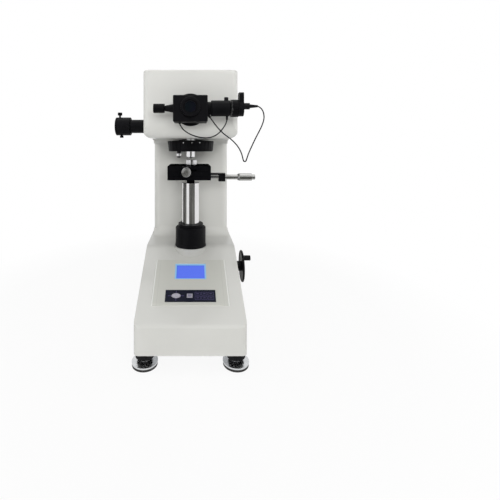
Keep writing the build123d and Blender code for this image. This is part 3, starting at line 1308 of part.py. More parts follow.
def loading_motor():
    """The geared motor of the cam, on its foot at the column's side wall."""
    start = LEVER_WIDTH / 2 + 3 * FOOT_GAP
    end = start + MOTOR_LENGTH
    motor = rod_x(MOTOR_RADIUS, start, end, LEVER_NOSE_Y, CAM_AXIS_Z)
    foot = block(end, CAVITY_HALF, LEVER_NOSE_Y - MOTOR_RADIUS, LEVER_NOSE_Y + MOTOR_RADIUS,
                 CAM_AXIS_Z - MOTOR_RADIUS, CAM_AXIS_Z + MOTOR_RADIUS / 2)
    return motor + foot - rod_x(MOTOR_SHAFT_RADIUS + RUNNING_GAP, 0, start + CAM_WIDTH, LEVER_NOSE_Y, CAM_AXIS_Z)


# ---- optics ----
def prism_housing():
    """The bridge over the lever with the light paths from the objective, to the lamp and to the eyepiece."""
    half = PRISM_HALF_WIDTH
    body = block(-half, half, PRISM_FRONT_Y, PRISM_REAR_Y, PRISM_BOTTOM_Z, PRISM_TOP_Z)
    for side in (-1, 1):
        leg = block(side * (half - PRISM_LEG), side * half, PRISM_FRONT_Y, PRISM_REAR_Y, HEAD_FLOOR_Z, PRISM_BOTTOM_Z)
        body = body + leg
    bores = [
        rod_z(PRISM_BORE_RADIUS, PRISM_BOTTOM_Z - 1, OPTIC_Z),
        rod_y(TUBE_RADIUS - TUBE_WALL - 2, PRISM_FRONT_Y - 1, PRISM_BORE_RADIUS, z=OPTIC_Z),
        rod_x(PRISM_BORE_RADIUS, -half - 1, 0, z=LAMP_Z),
    ]
    return bore_group(body, bores)


def eyepiece_tube():
    """The fixed tube that the eyepiece turns on."""
    tube = rod_y(TUBE_RADIUS, TUBE_END_Y, PRISM_FRONT_Y, z=OPTIC_Z)
    return tube - rod_y(TUBE_RADIUS - TUBE_WALL, TUBE_END_Y - 1, PRISM_FRONT_Y + 1, z=OPTIC_Z)


def lamp_tube():
    """The illuminator's neck and its thinner tube to the prism housing."""
    neck = rod_x(LAMP_NECK_RADIUS, LAMP_NECK_END_X, -CAVITY_HALF, z=LAMP_Z)
    inner = rod_x(LAMP_INNER_RADIUS, -CAVITY_HALF, -PRISM_HALF_WIDTH, z=LAMP_Z)
    return neck + inner - rod_x(LAMP_INNER_RADIUS - 2.5, LAMP_NECK_END_X - 1, 0, z=LAMP_Z)


def lamp_housing():
    """The lamp barrel with its groove, open towards the neck."""
    barrel = rod_x(LAMP_BARREL_RADIUS, LAMP_END_X, LAMP_NECK_END_X, z=LAMP_Z)
    barrel = fillet(barrel.edges().filter_by(GeomType.CIRCLE), 1.5)
    band = rod_x(LAMP_BARREL_RADIUS + 1, LAMP_GROOVE_X - LAMP_GROOVE_WIDTH / 2, LAMP_GROOVE_X + LAMP_GROOVE_WIDTH / 2,
                 z=LAMP_Z)
    band = band - rod_x(LAMP_BARREL_RADIUS - LAMP_GROOVE_DEPTH, LAMP_END_X, LAMP_NECK_END_X, z=LAMP_Z)
    room = rod_x(LAMP_BARREL_RADIUS - LAMP_BARREL_WALL, LAMP_END_X + LAMP_BARREL_WALL,
                 LAMP_NECK_END_X - LAMP_BARREL_WALL, z=LAMP_Z)
    mouth = rod_x(LAMP_INNER_RADIUS - 2.5, LAMP_NECK_END_X - 2 * LAMP_BARREL_WALL, LAMP_NECK_END_X + 1, z=LAMP_Z)
    top = rod_z(LAMP_SCREW_STEM_RADIUS + RUNNING_GAP, LAMP_Z + LAMP_BARREL_RADIUS - 2 * LAMP_BARREL_WALL,
                LAMP_Z + 2 * LAMP_BARREL_RADIUS, LAMP_SCREW_X)
    low = rod_z(LAMP_SCREW_STEM_RADIUS + RUNNING_GAP, LAMP_Z - 2 * LAMP_BARREL_RADIUS,
                LAMP_Z - LAMP_BARREL_RADIUS + 2 * LAMP_BARREL_WALL, LAMP_SCREW_LOW_X)
    return bore_group(barrel, [band, room, mouth, top, low])


def lamp_bulb():
    """The lamp in its socket, on the barrel's end wall."""
    wall = LAMP_END_X + LAMP_BARREL_WALL
    socket = rod_x(LAMP_SOCKET_RADIUS, wall, wall + LAMP_SOCKET_LENGTH, z=LAMP_Z)
    glass = rod_x(BULB_RADIUS, wall + LAMP_SOCKET_LENGTH, wall + LAMP_SOCKET_LENGTH + BULB_LENGTH, z=LAMP_Z)
    return socket + glass


def lamp_screw_top():
    """The centring screw on top of the lamp housing."""
    surface = LAMP_Z + LAMP_BARREL_RADIUS
    stem = rod_z(LAMP_SCREW_STEM_RADIUS, surface - LAMP_BARREL_WALL, surface + LAMP_SCREW_STEM)
    head = rod_z(LAMP_SCREW_HEAD_RADIUS, surface + LAMP_SCREW_STEM, surface + LAMP_SCREW_STEM + LAMP_SCREW_HEAD)
    head = bore_group(head, fluted(LAMP_SCREW_HEAD_RADIUS, KNURL_RADIUS, KNOB_KNURLS, surface, surface + 2 * LAMP_SCREW_HEAD))
    return Pos(LAMP_SCREW_X, 0, 0) * (stem + head)


def lamp_screw_low():
    """The clamp screw under the lamp housing."""
    surface = LAMP_Z - LAMP_BARREL_RADIUS
    stem = rod_z(LAMP_SCREW_STEM_RADIUS, surface - 1, surface + LAMP_BARREL_WALL)
    head = rod_z(LAMP_SCREW_LOW_RADIUS, surface - FOOT_GAP - LAMP_SCREW_LOW, surface - FOOT_GAP)
    head = bore_group(head, fluted(LAMP_SCREW_LOW_RADIUS, KNURL_RADIUS, KNOB_KNURLS, surface - 2 * LAMP_SCREW_LOW, surface))
    return Pos(LAMP_SCREW_LOW_X, 0, 0) * (stem + head)


# ---- measuring eyepiece ----
def eyepiece_body():
    """The eyepiece's block, flange and hub, with the cone for the left knob and the neck of the encoder."""
    flange_rear = EYE_FLANGE_Y + EYE_FLANGE_THICKNESS
    block_rear = EYE_FLANGE_Y
    half_x = EYE_BLOCK_WIDTH / 2
    half_z = EYE_BLOCK_HEIGHT / 2
    middle = OPTIC_Z - EYE_BLOCK_DROP
    body = block(-half_x, half_x, EYE_BLOCK_FRONT_Y, block_rear, middle - half_z, middle + half_z)
    body = fillet(body.edges().filter_by(Axis.Y), EYE_BLOCK_EDGE)
    body = chamfer(body.faces().sort_by(Axis.Y)[0].edges(), EYE_BLOCK_EDGE / 2)
    body = body + rod_y(EYE_FLANGE_RADIUS, block_rear, flange_rear, z=OPTIC_Z)
    body = body + rod_y(EYE_HUB_RADIUS, flange_rear, EYE_HUB_REAR_Y, z=OPTIC_Z)
    cone = turned_x([
        (0, -half_x + 1),
        (LEFT_CONE_BASE_RADIUS, -half_x + 1),
        (LEFT_CONE_BASE_RADIUS, -half_x),
        (LEFT_CONE_TIP_RADIUS, -half_x - LEFT_CONE_LENGTH),
        (0, -half_x - LEFT_CONE_LENGTH),
    ])
    body = body + Pos(0, EYE_MID_Y, OPTIC_Z) * cone
    pin_end = -half_x - LEFT_CONE_LENGTH - LEFT_KNOB_LENGTH / 2
    body = body + rod_x(LEFT_KNOB_PIN_RADIUS, pin_end, -half_x, EYE_MID_Y, OPTIC_Z)
    cuts = [
        rod_y(TUBE_RADIUS + RUNNING_GAP, TUBE_END_Y - FOOT_GAP, EYE_HUB_REAR_Y + 1, z=OPTIC_Z),
        rod_y(EYE_LENS_RADIUS, EYE_BLOCK_FRONT_Y - 1, TUBE_END_Y, z=OPTIC_Z),
        rod_y(EYE_SEAT_RADIUS, EYE_BLOCK_FRONT_Y - 1, EYE_BLOCK_FRONT_Y + EYE_RING_LENGTH, z=OPTIC_Z),
    ]
    return bore_group(body, cuts)


def eye_ring():
    """The dioptre ring with its threaded shank, turned about Y."""
    front = EYE_BLOCK_FRONT_Y - FOOT_GAP
    shank = rod_y(EYE_SEAT_RADIUS - RUNNING_GAP, front, EYE_BLOCK_FRONT_Y + EYE_RING_LENGTH - FOOT_GAP, z=OPTIC_Z)
    ring = rod_y(EYE_RING_RADIUS, front - EYE_RING_LENGTH, front, z=OPTIC_Z)
    ring = chamfer(ring.edges().filter_by(GeomType.CIRCLE), 1)
    knurl = []
    for i in range(DRUM_KNURLS):
        angle = radians(360 * i / DRUM_KNURLS)
        knurl.append(rod_y(KNURL_RADIUS, front - EYE_RING_LENGTH, front, EYE_RING_RADIUS * cos(angle),
                           OPTIC_Z + EYE_RING_RADIUS * sin(angle)))
    ring = bore_group(ring, knurl) + shank
    dish = Pos(0, front - EYE_RING_LENGTH, OPTIC_Z) * Cone(EYE_LENS_RADIUS, EYE_RING_RADIUS - 3, 4, rotation=(90, 0, 0))
    return ring - dish - rod_y(EYE_LENS_RADIUS - 1, front - EYE_RING_LENGTH - 1, EYE_BLOCK_FRONT_Y + EYE_RING_LENGTH, z=OPTIC_Z)


def eye_lens():
    """The eye lens in the dioptre ring."""
    middle = EYE_BLOCK_FRONT_Y - FOOT_GAP - EYE_RING_LENGTH / 2
    return rod_y(EYE_LENS_RADIUS - 1, middle - 1, middle + 1, z=OPTIC_Z)


def knurled_x(radius, start, end, count):
    """A knurled drum along X about the eyepiece's cross axis."""
    drum = rod_z(radius, start, end)
    drum = chamfer(drum.edges().filter_by(GeomType.CIRCLE), 0.6)
    drum = bore_group(drum, fluted(radius, KNURL_RADIUS, count, start - 1, end + 1))
    return Pos(0, EYE_MID_Y, OPTIC_Z) * Rot(0, 90, 0) * drum


def left_knob():
    """The zero knob on the left, turned about X on its pin."""
    start = -EYE_BLOCK_WIDTH / 2 - LEFT_CONE_LENGTH - FOOT_GAP
    knob = knurled_x(LEFT_KNOB_RADIUS, start - LEFT_KNOB_LENGTH, start, KNOB_KNURLS)
    bore = rod_x(LEFT_KNOB_PIN_RADIUS + RUNNING_GAP, start - LEFT_KNOB_LENGTH / 2 - FOOT_GAP, start + 1, EYE_MID_Y, OPTIC_Z)
    return knob - bore


def encoder_housing():
    """The encoder's round housing, the core that carries the drum, and the well of the read button."""
    neck = rod_x(ENCODER_NECK_RADIUS, EYE_BLOCK_WIDTH / 2, ENCODER_START_X, EYE_MID_Y, OPTIC_Z)
    shell = rod_x(ENCODER_RADIUS, ENCODER_START_X, ENCODER_END_X, EYE_MID_Y, OPTIC_Z)
    shell = chamfer(shell.edges().filter_by(GeomType.CIRCLE), 0.8)
    core = rod_x(DRUM_CORE_RADIUS, ENCODER_END_X, END_PLATE_X, EYE_MID_Y, OPTIC_Z)
    well = rod_z(READ_BUTTON_RADIUS + KEY_CLEARANCE, OPTIC_Z + ENCODER_RADIUS - READ_BUTTON_DEPTH - READ_BUTTON_TRAVEL,
                 OPTIC_Z + 2 * ENCODER_RADIUS, READ_BUTTON_X, EYE_MID_Y)
    return neck + shell + core - well


def read_button():
    """The read button on top of the encoder."""
    low = OPTIC_Z + ENCODER_RADIUS - READ_BUTTON_DEPTH + KEY_CLEARANCE
    high = OPTIC_Z + ENCODER_RADIUS + READ_BUTTON_RISE
    button = rod_z(READ_BUTTON_RADIUS, low, high, READ_BUTTON_X, EYE_MID_Y)
    return fillet(button.edges().sort_by(Axis.Z)[-1], 0.8)


def measuring_drum():
    """The measuring drum that turns on the encoder's core."""
    drum = knurled_x(DRUM_RADIUS, DRUM_START_X, DRUM_END_X, DRUM_KNURLS)
    return drum - rod_x(DRUM_CORE_RADIUS + RUNNING_GAP, 0, END_PLATE_X + 1, EYE_MID_Y, OPTIC_Z)


def encoder_end_plate():
    """The upright plate that closes the encoder and carries its connector."""
    x0 = END_PLATE_X
    x1 = END_PLATE_X + END_PLATE_THICKNESS
    half = END_PLATE_WIDTH / 2
    plate = block(x0, x1, EYE_MID_Y - half, EYE_MID_Y + half, OPTIC_Z, OPTIC_Z + END_PLATE_RISE)
    plate = fillet(plate.edges().filter_by(Axis.X).group_by(Axis.Z)[-1], half / 2)
    return plate + rod_x(ENCODER_RADIUS, x0, x1, EYE_MID_Y, OPTIC_Z)


def lead_connector():
    """The plug of the encoder's lead with its strain relief."""
    start = END_PLATE_X + END_PLATE_THICKNESS
    middle = start + CONNECTOR_LENGTH
    z = ENCODER_LEAD_ROUTE[0][2]
    plug = rod_x(CONNECTOR_RADIUS, start, middle, EYE_MID_Y, z)
    relief = turned_x([
        (0, middle),
        (RELIEF_RADIUS + 0.6, middle),
        (RELIEF_RADIUS - 1, RELIEF_END_X),
        (0, RELIEF_END_X),
    ])
    return plug + Pos(0, EYE_MID_Y, z) * relief


def along(start, end, length, radius):
    """A round sleeve that starts at one point and lies on the line to the next."""
    direction = (Vector(*end) - Vector(*start)).normalized()
    plane = Plane(origin=Vector(*start), z_dir=direction)
    return extrude(plane * Circle(radius), length)


def lead_sleeves():
    """The sleeves where the leads enter the eyepiece's block and the encoder."""
    sleeves = []
    last = ENCODER_LEAD_ROUTE[-1]
    entry = along(last, (EYE_BLOCK_WIDTH / 2 - 1, last[1], last[2] + 9), 10.5, LEAD_SLEEVE_RADIUS)
    entry = entry - eyepiece_body() - encoder_housing()
    sleeves.append(entry.solids().sort_by(SortBy.VOLUME)[-1])
    first = BUTTON_LEAD_ROUTE[0]
    sleeves.append(rod_z(LEAD_SLEEVE_RADIUS, first[2], OPTIC_Z - EYE_BLOCK_DROP - EYE_BLOCK_HEIGHT / 2,
                         first[0], first[1]))
    end = BUTTON_LEAD_ROUTE[-1]
    sleeves.append(rod_z(LEAD_SLEEVE_RADIUS, end[2], OPTIC_Z - ENCODER_RADIUS / 2, end[0], end[1]) - encoder_housing())
    return group(*sleeves)


# ---- rear connections and power ----
def power_inlet():
    """The mains inlet in the rear cover, its socket open to the back."""
    flange = block(INLET_X - INLET_WIDTH / 2, INLET_X + INLET_WIDTH / 2, REAR_FACE_Y, REAR_FACE_Y + INLET_FLANGE,
                   INLET_Z - INLET_HEIGHT / 2, INLET_Z + INLET_HEIGHT / 2)
    flange = fillet(flange.edges().filter_by(Axis.Y), 3)
    half_x = INLET_WIDTH / 2 - REAR_COVER_LAP
    half_z = INLET_HEIGHT / 2 - 3
    body = block(INLET_X - half_x, INLET_X + half_x, REAR_Y - INLET_DEPTH, REAR_FACE_Y, INLET_Z - half_z, INLET_Z + half_z)
    socket = block(INLET_X - INLET_SOCKET_WIDTH / 2, INLET_X + INLET_SOCKET_WIDTH / 2, REAR_Y - INLET_DEPTH + 6,
                   REAR_FACE_Y + INLET_FLANGE + 1, INLET_Z - INLET_SOCKET_HEIGHT / 2, INLET_Z + INLET_SOCKET_HEIGHT / 2)
    shell = flange + body - socket
    for x, z in ((-7, -3), (7, -3), (0, 3)):
        shell = shell + block(INLET_X + x - 1, INLET_X + x + 1, REAR_Y - INLET_DEPTH + 5, REAR_Y - 2,
                              INLET_Z + z - 2, INLET_Z + z + 2)
    return shell


def switch_frame():
    """The frame of the mains switch."""
    frame = block(SWITCH_X - SWITCH_WIDTH / 2, SWITCH_X + SWITCH_WIDTH / 2, REAR_FACE_Y, REAR_FACE_Y + SWITCH_FRAME,
                  INLET_Z - SWITCH_HEIGHT / 2, INLET_Z + SWITCH_HEIGHT / 2)
    half_x = SWITCH_WIDTH / 2 - 1.5
    half_z = SWITCH_HEIGHT / 2 - 1.5
    body = block(SWITCH_X - half_x, SWITCH_X + half_x, REAR_Y - SWITCH_DEPTH, REAR_FACE_Y, INLET_Z - half_z, INLET_Z + half_z)
    well = block(SWITCH_X - ROCKER_WIDTH / 2 - KEY_CLEARANCE, SWITCH_X + ROCKER_WIDTH / 2 + KEY_CLEARANCE,
                 REAR_Y - SWITCH_DEPTH / 2, REAR_FACE_Y + SWITCH_FRAME + 1,
                 INLET_Z - ROCKER_HEIGHT / 2 - KEY_CLEARANCE, INLET_Z + ROCKER_HEIGHT / 2 + KEY_CLEARANCE)
    return frame + body - well


def rocker_axis():
    """The Y of the rocker's pivot."""
    return REAR_Y + 0.5


def rocker():
    """The rocker, its two flats tilted about the pivot, at the off stop."""
    pivot = rocker_axis()
    top = REAR_FACE_Y + SWITCH_FRAME + 1.2
    half = ROCKER_WIDTH / 2 - 0.4
    dip = half * tan(radians(ROCKER_THROW))
    points = [
        (-half, pivot - 2),
        (0, pivot - 4),
        (half, pivot - 2),
        (half, top),
        (0, top - dip),
        (-half, top),
    ]
    face = make_face(Plane.XY * Polyline(points, close=True))
    body = extrude(face, ROCKER_HEIGHT / 2 - 0.1, both=True)
    tilt = Pos(0, pivot, 0) * Rot(0, 0, ROCKER_THROW) * Pos(0, -pivot, 0)
    return Pos(SWITCH_X, 0, INLET_Z) * (tilt * body)


def fuse_holder():
    """The panel fuse holder with its cap."""
    body = rod_y(FUSE_RADIUS, REAR_Y - FUSE_DEPTH, REAR_FACE_Y, FUSE_X, INLET_Z)
    cap = rod_y(FUSE_CAP_RADIUS, REAR_FACE_Y, REAR_FACE_Y + FUSE_CAP_LENGTH, FUSE_X, INLET_Z)
    slot = block(FUSE_X - FUSE_CAP_RADIUS, FUSE_X + FUSE_CAP_RADIUS, REAR_FACE_Y + FUSE_CAP_LENGTH - 1.5,
                 REAR_FACE_Y + FUSE_CAP_LENGTH + 1, INLET_Z - 0.8, INLET_Z + 0.8)
    return body + cap - slot


def power_supply():
    """The power supply on the bottom plate, at the column's foot."""
    floor = BASE_UNDERSIDE_Z + BOTTOM_PLATE_THICKNESS
    return block(-SUPPLY_WIDTH / 2, SUPPLY_WIDTH / 2, SUPPLY_Y - SUPPLY_DEPTH / 2, SUPPLY_Y + SUPPLY_DEPTH / 2,
                 floor, floor + SUPPLY_HEIGHT)


def all_pieces():
    """Every node of the machine, about the elevating screw's axis."""
    x_bracket, x_barrel = x_mount()
    y_bracket, y_barrel = y_mount()
    pieces = {
        "frame_casting": frame_casting(),
        "head_cover": head_cover(),
        "rear_cover": rear_cover(),
        "bottom_plate": bottom_plate(),
        "cover_screws": cover_screws(),
        "foot_pads": foot_pads(),
        "foot_dishes": foot_dishes(),
        "control_panel": control_panel(),
        "lcd_screen": lcd_screen(),
        "keypad_overlay": keypad_overlay(),
        "pad_key": pad_key(),
        "square_key": square_key(),
        "electronics": group(control_board(), power_supply()),
        "rear_fittings": group(power_inlet(), switch_frame(), fuse_holder()),
        "switch_rocker": rocker(),
        "lift_housing": lift_housing(),
        "bushes": group(thrust_bearing(), shaft_bush(), guide_bush(), spindle_guide()),
        "lift_nut": lift_nut(),
        "drive_shaft": group(bevel_pinion(), drive_shaft()),
        "hand_wheel": hand_wheel(),
        "crank_handle": crank_handle(),
        "dust_cover": dust_cover(),
        "elevating_screw": elevating_screw(),
        "stage_base": stage_base(),
        "x_carriage": x_carriage(),
        "y_table": y_table(),
        "test_block": test_block(),
        "mic_brackets": group(x_bracket, y_bracket),
        "mic_barrels": group(x_barrel, y_barrel),
        "x_thimble": x_place() * micrometer_thimble(),
        "y_thimble": y_place() * micrometer_thimble(),
        "turret": turret(),
        "objectives": group(objective_low(), objective_high()),
        "indenter": indenter(),
        "head_pivots": group(turret_pivot(), lever_bearing()),
        "load_spindle": load_spindle(),
        "load_lever": group(load_lever(), load_weights()),
        "lift_cam": lift_cam(),
        "loading_motor": loading_motor(),
        "prism_housing": prism_housing(),
        "optical_tubes": group(eyepiece_tube(), lamp_tube()),
        "lamp_housing": lamp_housing(),
        "lamp_bulb": lamp_bulb(),
        "lamp_screw_top": lamp_screw_top(),
        "lamp_screw_low": lamp_screw_low(),
        "eyepiece_body": eyepiece_body(),
        "eye_ring": eye_ring(),
        "eye_lens": eye_lens(),
        "left_knob": left_knob(),
        "encoder_housing": group(encoder_housing(), encoder_end_plate()),
        "read_button": read_button(),
        "measuring_drum": measuring_drum(),
        "lead_fittings": group(lead_connector(), lead_sleeves()),
        "encoder_lead": lead(ENCODER_LEAD_ROUTE),
        "button_lead": lead(BUTTON_LEAD_ROUTE),
    }
    for number, (x, y) in enumerate(foot_places(), 1):
        pieces[f"foot_knob_{number}"] = foot_knob(x, y)
    return pieces


def origin_shift(pieces):
    """The move that brings the middle of the footprint to X = Y = 0, found without the leads."""
    boxes = [piece.bounding_box() for name, piece in pieces.items() if name not in LEAD_NODES]
    low_x = min(box.min.X for box in boxes)
    high_x = max(box.max.X for box in boxes)
    low_y = min(box.min.Y for box in boxes)
    high_y = max(box.max.Y for box in boxes)
    return -(low_x + high_x) / 2, -(low_y + high_y) / 2


def main():
    """Builds, places and writes every node."""
    pieces = all_pieces()
    shift_x, shift_y = origin_shift(pieces)
    print(f"{len(pieces)} nodes, shift {shift_x:.4f} {shift_y:.4f}")
    os.makedirs("parts", exist_ok=True)
    for name, piece in pieces.items():
        export_step(Pos(shift_x, shift_y, 0) * piece, f"parts/{name}.step")


main()
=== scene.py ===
"""A bench micro-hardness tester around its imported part.

It adds the finishes, printed marks, leads, floor, lamps and camera.
"""

import math

import bpy
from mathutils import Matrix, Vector


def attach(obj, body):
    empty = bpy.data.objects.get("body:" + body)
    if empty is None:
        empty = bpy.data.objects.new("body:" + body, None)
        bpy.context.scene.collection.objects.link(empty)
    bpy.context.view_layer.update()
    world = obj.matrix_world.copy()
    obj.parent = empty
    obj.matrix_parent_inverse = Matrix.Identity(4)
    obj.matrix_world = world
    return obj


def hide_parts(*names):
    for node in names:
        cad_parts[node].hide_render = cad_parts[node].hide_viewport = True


# Metres in a millimetre. Names without "metres" beside them count in millimetres.
MM = 0.001

# The elevating screw's axis in the part's frame. Places below are measured from it.
SCREW_X, SCREW_Y = 11.5, -61.25

# The lower crease of the sloped front, and the angle at which it rises.
CREASE_Y, CREASE_Z = -181.0, 77.5
SLOPE = math.atan2(88.5, 176.0)

# Axes of the two micrometers and of the measuring drum.
X_MICROMETER_Z = 322.0
Y_MICROMETER_X, Y_MICROMETER_Z = -8.0, 343.0
DRUM_Y, DRUM_Z = -149.0, 462.0

LEAD_DIAMETER = 2.2

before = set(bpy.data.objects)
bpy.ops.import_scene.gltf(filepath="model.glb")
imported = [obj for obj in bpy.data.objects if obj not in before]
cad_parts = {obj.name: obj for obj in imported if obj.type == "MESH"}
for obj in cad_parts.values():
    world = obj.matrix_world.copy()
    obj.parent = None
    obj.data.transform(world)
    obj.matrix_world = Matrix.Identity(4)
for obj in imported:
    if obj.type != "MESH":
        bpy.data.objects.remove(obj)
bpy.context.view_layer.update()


# ---------------------------------------------------------------- places

def at(x, y, z):
    """A point given in millimetres from the elevating screw's axis and the bench."""
    return Vector(((x + SCREW_X) * MM, (y + SCREW_Y) * MM, z * MM))


def on_panel(x, s, rise):
    """A point on the sloped front: s runs up the slope from its lower crease."""
    return at(
        x,
        CREASE_Y + s * math.cos(SLOPE) - rise * math.sin(SLOPE),
        CREASE_Z + s * math.sin(SLOPE) + rise * math.cos(SLOPE),
    )


# ---------------------------------------------------------------- shader maths

class Value:
    """A number or colour leaving a node; expressions on it add Math nodes."""

    def __init__(self, finish, socket):
        self.finish, self.socket = finish, socket

    def math(self, operation, *terms):
        return self.finish.node(
            "ShaderNodeMath", {"operation": operation}, dict(enumerate(terms))
        )

    def out(self, name):
        """Another output of the same node."""
        return Value(self.finish, self.socket.node.outputs[name])

    def __add__(self, other):
        return self.math("ADD", self, other)

    def __sub__(self, other):
        return self.math("SUBTRACT", self, other)

    def __rsub__(self, other):
        return self.math("SUBTRACT", other, self)

    def __mul__(self, other):
        return self.math("MULTIPLY", self, other)

    def __gt__(self, other):
        return self.math("GREATER_THAN", self, other)

    def __lt__(self, other):
        return self.math("LESS_THAN", self, other)

    def __abs__(self):
        return self.math("ABSOLUTE", self)

    __radd__ = __add__
    __rmul__ = __mul__

    def fraction(self):
        return self.math("FRACT", self)

    def root(self):
        return self.math("SQRT", self)

    def largest(self, other):
        return self.math("MAXIMUM", self, other)

    def smallest(self, other):
        return self.math("MINIMUM", self, other)

    def within(self, low, high):
        """1 between low and high, 0 outside them."""
        return (self > low) * (self < high)

    def angle_to(self, other):
        return self.math("ARCTAN2", self, other)


class Nodes:
    """A node tree that is filled through one method."""

    def __init__(self, tree):
        self.tree = tree
        tree.nodes.clear()

    def node(self, kind, settings=(), sockets=()):
        made = self.tree.nodes.new(kind)
        for name, value in dict(settings).items():
            setattr(made, name, value)
        for name, value in dict(sockets).items():
            if isinstance(value, Value):
                self.tree.links.new(value.socket, made.inputs[name])
            else:
                made.inputs[name].default_value = value
        return Value(self, made.outputs[0]) if made.outputs else made

    def seen_directly(self):
        """1 for what the eye sees, also in metal or through glass."""
        rays = self.node("ShaderNodeLightPath")
        mirrored = rays.out("Is Glossy Ray").largest(rays.out("Is Transmission Ray"))
        return rays.out("Is Camera Ray").largest(mirrored)


class Finish(Nodes):
    """One material: a Principled shader, and the piece's own coordinates in metres."""

    def __init__(self, name, colour, roughness, **fixed):
        self.material = bpy.data.materials.new(name)
        self.material.use_nodes = True
        super().__init__(self.material.node_tree)
        fixed = {socket.replace("_", " "): value for socket, value in fixed.items()}
        self.surface = self.node(
            "ShaderNodeBsdfPrincipled",
            {},
            {"Base Color": (*colour, 1), "Roughness": roughness, **fixed},
        )
        self.shader = self.surface.socket.node
        self.output = self.node("ShaderNodeOutputMaterial", {}, {"Surface": self.surface})
        self.colour = colour
        self.place = self.node("ShaderNodeTexCoord").out("Object")
        split = self.node("ShaderNodeSeparateXYZ", {}, {0: self.place})
        self.x, self.y, self.z = split.out("X"), split.out("Y"), split.out("Z")

    def feed(self, name, value):
        self.tree.links.new(value.socket, self.shader.inputs[name])
        return self

    def stretched(self, x, y, z):
        return self.node(
            "ShaderNodeVectorMath", {"operation": "MULTIPLY"}, {0: self.place, 1: (x, y, z)}
        )

    def grain(self, size, detail=2.0, stretch=(1, 1, 1)):
        """Cloudy noise from 0 to 1 whose lumps are about size millimetres."""
        return self.node(
            "ShaderNodeTexNoise",
            {},
            {"Vector": self.stretched(*stretch), "Scale": 1 / (size * MM), "Detail": detail},
        )

    def cells(self, size):
        """The distance from the middles of cells that are about size millimetres."""
        return self.node(
            "ShaderNodeTexVoronoi", {}, {"Vector": self.place, "Scale": 1 / (size * MM)}
        )

    def mix(self, amount, low, high):
        """Colour low where amount is 0 and high where it is 1."""
        sides = {6: low, 7: high}
        sides = {k: v if isinstance(v, Value) else (*v, 1) for k, v in sides.items()}
        return self.node("ShaderNodeMix", {"data_type": "RGBA"}, {0: amount, **sides}).out(2)

    def ramp(self, amount, low, high):
        """Amount from 0 to 1 carried to low … high."""
        return amount * (high - low) + low

    def relief(self, height, depth, strength=1.0):
        """Bumps of depth millimetres where height goes from 0 to 1."""
        return self.feed(
            "Normal",
            self.node(
                "ShaderNodeBump",
                {},
                {"Height": height, "Strength": strength, "Distance": depth * MM},
            ),
        )


def shade(colour, share):
    """The colour at a share of its brightness."""
    return tuple(c * share for c in colour)


def lines_around(across, along, count, width):
    """1 on count equal marks around an axis, 0 between them; width is a share of the pitch."""
    turn = across.angle_to(along) * (count / (2 * math.pi)) + 0.5 * width
    return turn.fraction() < width


# ---------------------------------------------------------------- finishes

def cast_enamel():
    """Warm grey stoving enamel over a filled casting, with its fine orange-peel skin.

    Dust lies low on it. Painted shade surrounds the foot of the dust cover, and more painted shade
    darkens a thin ring at the boss's front wall.
    """
    f = Finish(
        "warm_grey_enamel", (0.615, 0.615, 0.585), 0.42, Coat_Weight=0.5, Coat_Roughness=0.12
    )
    dust_top, dust_per_metre, dust_colour = 110.0, 1.2, (0.42, 0.41, 0.37)
    shade_radius, shade_per_metre, shade_low = 62.0, 42.0, 120.0
    boss_inside, boss_outside = 37.5, 38.5
    deep_shade = shade(f.colour, 0.55)

    base = f.mix(f.grain(90, 3), shade(f.colour, 0.965), shade(f.colour, 1.03))
    base = f.mix((f.cells(1.6) < 0.12) * 0.10, base, shade(f.colour, 0.8))
    # Painted shade: the colour darkens near the dust cover's foot, above shade_low, and fades out
    # by shade_radius.
    across, along = f.x - SCREW_X * MM, f.y - SCREW_Y * MM
    reach = (across * across + along * along).root()
    above = f.z > shade_low * MM
    near = ((shade_radius * MM - reach) * shade_per_metre).largest(0.0).smallest(1.0)
    base = f.mix(near * above * 0.3, base, deep_shade)
    # Painted shade: the boss's front wall is darkened so that it reads no brighter than the slope
    # around it.
    painted_boss_shade = reach.within(boss_inside * MM, boss_outside * MM) * above
    base = f.mix(painted_boss_shade * 0.34, base, deep_shade)
    dust = (dust_top * MM - f.z).largest(0.0) * dust_per_metre * f.grain(14, 4)
    f.feed("Base Color", f.mix(dust, base, dust_colour))
    f.feed("Roughness", f.ramp(f.grain(25, 3), 0.36, 0.5))
    return f.relief(f.grain(1.5, 1) * 0.8 + f.grain(7, 2) * 0.2, 0.05, 0.55)


def sheet_enamel():
    """The same grey sprayed on folded sheet: flatter, with long faint clouds."""
    f = Finish(
        "sheet_cover_enamel", (0.62, 0.62, 0.592), 0.4, Coat_Weight=0.5, Coat_Roughness=0.12
    )
    cloud = f.grain(120, 2, (1, 1, 0.6))
    f.feed("Base Color", f.mix(cloud, shade(f.colour, 0.975), shade(f.colour, 1.025)))
    f.feed("Roughness", f.ramp(f.grain(30, 3), 0.35, 0.47))
    return f.relief(f.grain(1.1, 1) * 0.7 + f.grain(10, 2) * 0.3, 0.03, 0.5)


